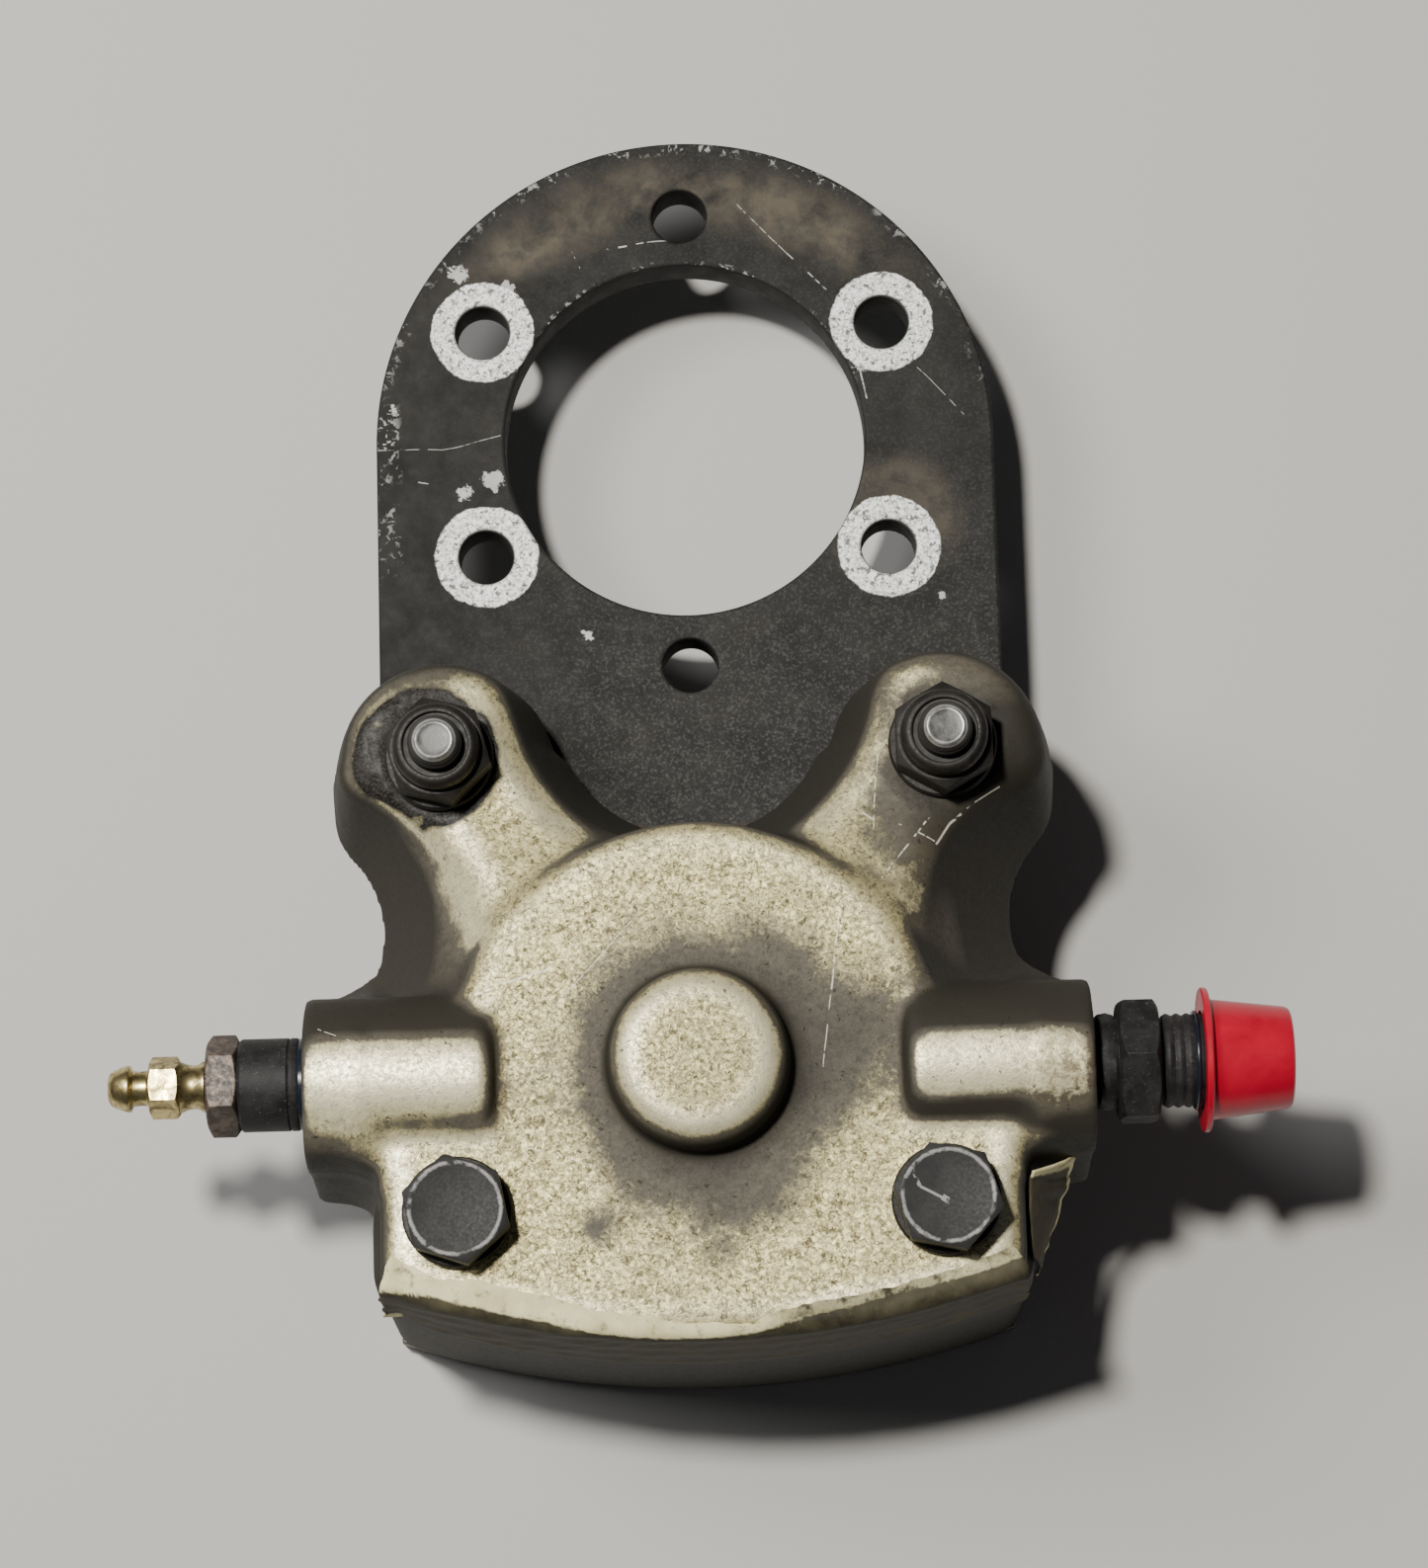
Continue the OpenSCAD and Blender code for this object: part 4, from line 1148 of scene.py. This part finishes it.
def build_inlet(black, rubber):
    node = "inlet_fitting"
    inner, tip = low(node)[0], high(node)[0]
    across = span(node)[1]
    hex_start, hex_end = 48.4, 53.1

    def lumpy(radius, height, amount):
        """A ring of sealant squeezed out of the thread: a radius that wanders with the angle."""
        def value(a):
            wave = math.sin(3 * a + height) + 0.7 * math.sin(7 * a + 2.3 * height)
            wave += 0.5 * math.sin(13 * a - height)
            return radius + amount * wave / 2.2
        return value

    rows = [(2.2, inner), (3.8, inner), (4.2, inner + 0.5),
            (4.2, PORT_X + 0.25), (lumpy(5.0, 1, 0.2), PORT_X + 0.3),
            (lumpy(5.5, 2, 0.22), PORT_X + 0.8), (lumpy(5.6, 3, 0.2), PORT_X + 1.7),
            (lumpy(5.45, 4, 0.2), hex_start - 0.45), (lumpy(5.2, 5, 0.12), hex_start - 0.05)]
    rows += hex_rows(across, hex_start, hex_end, 0)
    rows += [(5.3, hex_end + 0.02), (4.9, hex_end + 0.4)]
    rows += thread_rows(5.5, hex_end + 0.5, 62, 1.27, 0.3)
    rows += [(4.9, 62.2), (3.1, tip - 0.1), (2.8, tip), (2.2, tip)]
    port_piece(node, rows, "X", black, steps=120, bevel=0.08)
    ring0, ring1 = low("inlet_seal_ring")[0], high("inlet_seal_ring")[0]
    radius = span("inlet_seal_ring")[1] / 2
    middle_x = (ring0 + ring1) / 2
    rows = [(radius - 0.35 + 0.35 * math.cos(a), middle_x + 0.3 * math.sin(a))
            for a in np.linspace(0, 2 * math.pi, 13)[:-1]]
    port_piece("inlet_seal_ring", rows, "X", rubber)


def build_cap(look):
    x0, x1 = low("dust_cap")[0], high("dust_cap")[0]
    flange = span("dust_cap")[1] / 2
    rows = [(5.78, x0 + 0.05), (flange - 0.2, x0), (flange, x0 + 0.15),
            (flange, x0 + 0.65), (flange - 0.2, x0 + 0.85), (7.5, x0 + 0.9), (7.08, x0 + 1.1),
            (6.95, x0 + 1.5), (6.9, x0 + 2.0), (5.95, x1 - 0.7), (5.75, x1 - 0.2),
            (5.4, x1), (3.0, x1 - 0.12), (0, x1 - 0.15), (0, x1 - 1.3), (4.5, x1 - 1.3), (5.72, x0 + 4.2)]
    port_piece("dust_cap", rows, "X", look, steps=144)


# ---------------- tape


def foot_surface(theta, s):
    """A point and normal of the foot's skin. theta is the angle about the axle, and s the distance
    over the skin from the front edge's rounding: negative on the front face, positive down the wall."""
    fold_r = FOOT_R - FOOT_DRAFT - FOLD
    quarter = FOLD * math.pi / 2
    if s < 0:
        radius, z, out, up = fold_r + s, FACE, 0.0, 1.0
    elif s < quarter:
        a = s / FOLD
        radius, z = fold_r + FOLD * math.sin(a), FACE - FOLD + FOLD * math.cos(a)
        out, up = math.sin(a), math.cos(a)
    else:
        lean = FOOT_DRAFT / (FACE - FOLD - FOOT_BACK)
        down = s - quarter
        radius, z, out, up = fold_r + FOLD + down * lean, FACE - FOLD - down, 1.0, lean
    c, d = math.cos(theta), math.sin(theta)
    return Vector((radius * d, -radius * c, z)), Vector((out * d, -out * c, up)).normalized()


def rough_line(t, seed, size):
    """A jagged value in -1..1 along a torn edge."""
    p = np.stack([np.atleast_1d(t) * 37.0, np.full(np.size(t), seed * 3.1), np.zeros(np.size(t))], 1)
    return float(value_noise(p, size, seed)[0] + 0.5 * value_noise(p, size / 2.7, seed + 1)[0])


def strip_faces(columns, rows):
    """Quads for a grid of points that was filled column by column."""
    faces = []
    for i in range(columns):
        for j in range(rows):
            a = i * (rows + 1) + j
            faces.append([a, a + rows + 1, a + rows + 2, a + 1])
    return faces


def tape_sheet(node, points, pale_and_lit, columns, rows, offset, look):
    """A thin sheet from a grid of points. offset is -1 to lay its thickness behind the points, and 0
    to centre it on them."""
    obj = new_object(node + "_sheet", points, strip_faces(columns, rows))
    paint(obj, "pale_and_lit", pale_and_lit)
    mod = obj.modifiers.new("thickness", "SOLIDIFY")
    mod.thickness = TAPE_THICKNESS * MM
    mod.offset = offset
    stand_in(obj, node, look)


def build_tape(look):
    """Torn tape, stuck down the foot's wall and over the front edge."""
    columns, rows = 190, 40
    half = math.asin(FOOT_X / FOOT_R)
    lip = [(-1.0, 2.9), (-0.85, 2.0), (-0.72, 2.7), (-0.54, 2.5), (-0.37, 1.8), (-0.21, 1.0), (-0.01, 0.4),
           (0.15, -0.1), (0.18, 1.0), (0.35, 1.6), (0.65, 1.9), (0.8, 2.0), (1.0, 2.2)]
    # The cream stops where fold says, so the wall below is painted shade; tone dims the cream towards the
    # right, a painted shade too.
    fold = [(-1.0, 0.7), (-0.85, -0.1), (-0.5, 0.1), (-0.3, 0.8), (0.0, 0.9), (0.2, 0.4), (0.35, -0.4),
            (0.6, -1.0), (1.0, -0.9)]
    tone = [(-1.0, 0.9), (-0.1, 1.0), (0.12, 0.85), (0.3, 0.42), (0.72, 0.40), (0.85, 0.55), (1.0, 0.45)]
    depth = [(-1.0, 13.5), (-0.93, 14.5), (-0.9, 19.0), (0.0, 19.5), (0.6, 18.5), (1.0, 17.5)]
    points, pale_and_lit = [], []
    for i in range(columns + 1):
        t = -1 + 2 * i / columns
        top = -np.interp(t, *zip(*lip)) - 0.30 * rough_line(t, 11, 2.2)
        bottom = np.interp(t, *zip(*depth)) + 0.35 * rough_line(t, 12, 5.0)
        turn = np.interp(t, *zip(*fold))
        for j in range(rows + 1):
            v = (j / rows) ** 1.3
            s = top + (bottom - top) * v
            reach = half * t
            if i in (0, columns):
                reach += (0.0035 + 0.003 * rough_line(v, 13 + i, 4.0)) * t
            elif abs(t) > 0.985:
                reach += 0.0015 * t
            point, normal = foot_surface(reach, s)
            crease = 0.10 * rough_line(t * 2 + v, 15, 6.0) + 0.06 * math.sin(s * 1.1 + 2 * t)
            curl = 0.45 * max(0, 1 - v * 14) * max(0, rough_line(t, 16, 3.0) + 0.1)
            end_lift = 0.7 * max(0, -t - 0.95) / 0.05 * ease(s, 6, 13) + 0.3 * max(0, abs(t) - 0.965) / 0.035
            points.append(point + normal * (0.16 + max(-0.06, crease) + curl + end_lift))
            flake = ease(-t, 0.93, 0.98) * ease(s, 10, 12.5)
            pale_and_lit.append(max(np.interp(t, *zip(*tone)) * (1 - ease(s, turn, turn + 0.6)), 0.9 * flake))
    tape_sheet("edge_tape", points, pale_and_lit, columns, rows, -1, look)


def build_flap(look):
    """The loose end of the tape, which leans away from the casting's side under the right port."""
    columns, rows = 40, 26
    stops = [0, 0.12, 0.35, 0.65, 1.0]
    inner = [(38.0, -94.6, 33.0), (37.6, -95.6, 32.4), (37.5, -97.2, 31.6), (37.6, -100.2, 31.0),
             (38.0, -104.2, 29.0)]
    outer = [(43.3, -92.2, 25.0), (42.9, -93.6, 22.0), (42.3, -95.8, 20.0), (40.4, -100.8, 19.0),
             (38.7, -105.4, 19.0)]
    points, pale_and_lit = [], []
    for i in range(columns + 1):
        u = i / columns
        a = np.array([np.interp(u, stops, [p[k] for p in inner]) for k in range(3)])
        b = np.array([np.interp(u, stops, [p[k] for p in outer]) for k in range(3)])
        b = b + np.array([0.25, 0, 0.6]) * rough_line(u, 21, 3.0)
        for j in range(rows + 1):
            v = j / rows
            sag = 0.5 * math.sin(math.pi * v) + 0.12 * rough_line(u + v, 23, 5.0)
            curl = 1.6 * (1 - ease(u, 0.0, 0.14)) * v
            points.append(Vector(a + (b - a) * v) + Vector((sag, 0, curl)))
            # The tip and the outer edge are painted pale as lit edges.
            pale_and_lit.append(max(1 - ease(u, 0.05, 0.10), ease(v, 0.86, 0.96), 0.12))
    tape_sheet("tape_flap", points, pale_and_lit, columns, rows, 0, look)


# ---------------- stage, light and camera


def build_stage():
    floor_z = low("back_plate")[2] * MM
    size = 3.0
    mesh = bpy.data.meshes.new("floor")
    points = [(-size, -size, floor_z), (size, -size, floor_z), (size, size, floor_z), (-size, size, floor_z)]
    mesh.from_pydata(points, [], [(0, 1, 2, 3)])
    floor = add_object("floor", mesh)
    mesh.materials.append(Look("floor").finish(colour=(0.56, 0.55, 0.535), roughness=0.85))


def area_light(name, place, target, size, power, colour):
    data = bpy.data.lights.new(name, "AREA")
    data.shape = "DISK"
    data.size = size
    data.energy = power
    data.color = colour
    obj = add_object(name, data)
    obj.location = place
    obj.rotation_euler = (Vector(target) - Vector(place)).to_track_quat("-Z", "Y").to_euler()


def build_light():
    centre = (0, -0.04, 0.02)
    area_light("key", (-0.215, 0.085, 0.94), centre, 0.09, 11, (1.0, 0.97, 0.90))
    area_light("soft", (-0.48, 0.14, 0.70), centre, 0.36, 3.2, (0.98, 0.98, 0.98))
    world = bpy.data.worlds.new("studio")
    world.use_nodes = True
    world.node_tree.nodes["Background"].inputs["Color"].default_value = (0.72, 0.74, 0.78, 1)
    world.node_tree.nodes["Background"].inputs["Strength"].default_value = 0.055
    bpy.context.scene.world = world


def build_camera():
    data = bpy.data.cameras.new("camera")
    data.lens = 113.4
    data.sensor_width = 36
    data.clip_start = 0.01
    data.clip_end = 20
    obj = add_object("camera", data)
    obj.location = (0.004877, -0.154621, 0.59791)
    obj.rotation_euler = Euler([math.radians(a) for a in (10.6326, 0.5136, -1.5018)])
    bpy.context.scene.camera = obj


# ---------------- everything

build_camera()
build_light()
build_stage()

oily = steel_look("oiled_steel", (0.009, 0.008, 0.007), (0.026, 0.023, 0.020), 0.48, 0.2)
black = black_look()
rubber = rubber_look()
tape = tape_look()
plate_steel = steel_look("pad_plate_steel", (0.10, 0.088, 0.075), (0.24, 0.225, 0.20), 0.5, 0.85)
bronze = plain_metal_look("bushing_bronze", (0.24, 0.165, 0.07), (0.50, 0.36, 0.17), 0.38)

build_casting()
build_torque_plate(plate_look())
build_back_plate(plate_steel)
for node in ("anchor_washer_left", "anchor_washer_right", "bolt_washer_left", "bolt_washer_right"):
    build_washer(node, oily)
build_bolt("back_bolt_left", 41)
build_bolt("back_bolt_right", 48, [((23.8, -94.8), (24.7, -96.8), 0.4), ((24.7, -96.8), (27.8, -98.4), 0.3),
                                   ((27.2, -98.0), (28.2, -98.7), 0.7)])
build_nut("anchor_nut_left", 45, oily)
build_nut("anchor_nut_right", 30, oily)
for node in ("anchor_pin_left", "anchor_pin_right"):
    build_pin(node)
build_bleeder(black, rust_look(), bleeder_look(), rubber)
build_inlet(black, rubber)
build_cap(cap_look())
build_tape(tape)
build_flap(tape)

# CAD nodes whose shape is right keep it and get a finished material.
KEPT = {
    "anchor_bushing_left": bronze, "anchor_bushing_right": bronze,
    "nut_insert_left": plain_metal_look("nut_nylon", (0.010, 0.009, 0.008), (0.028, 0.025, 0.022), 0.6, 0.0),
    "pressure_plate": steel_look("sooty_steel", (0.020, 0.017, 0.014), (0.055, 0.047, 0.038), 0.7, 0.2),
    "pressure_lining": lining_look(),
    "pressure_rivets": plain_metal_look("rivet_brass", (0.32, 0.23, 0.09), (0.58, 0.44, 0.20), 0.36),
    "piston": plain_metal_look("piston_metal", (0.45, 0.44, 0.42), (0.68, 0.67, 0.64), 0.3),
    "piston_o_ring": rubber,
    "piston_insulator": plain_metal_look("insulator_board", (0.16, 0.085, 0.045), (0.30, 0.18, 0.10),
                                         0.6, 0.0),
}
KEPT["nut_insert_right"] = KEPT["nut_insert_left"]
KEPT["back_lining"] = KEPT["pressure_lining"]
KEPT["back_rivets"] = KEPT["pressure_rivets"]
for node, material in KEPT.items():
    for slot in frame["nodes"][node].material_slots:
        slot.material = material
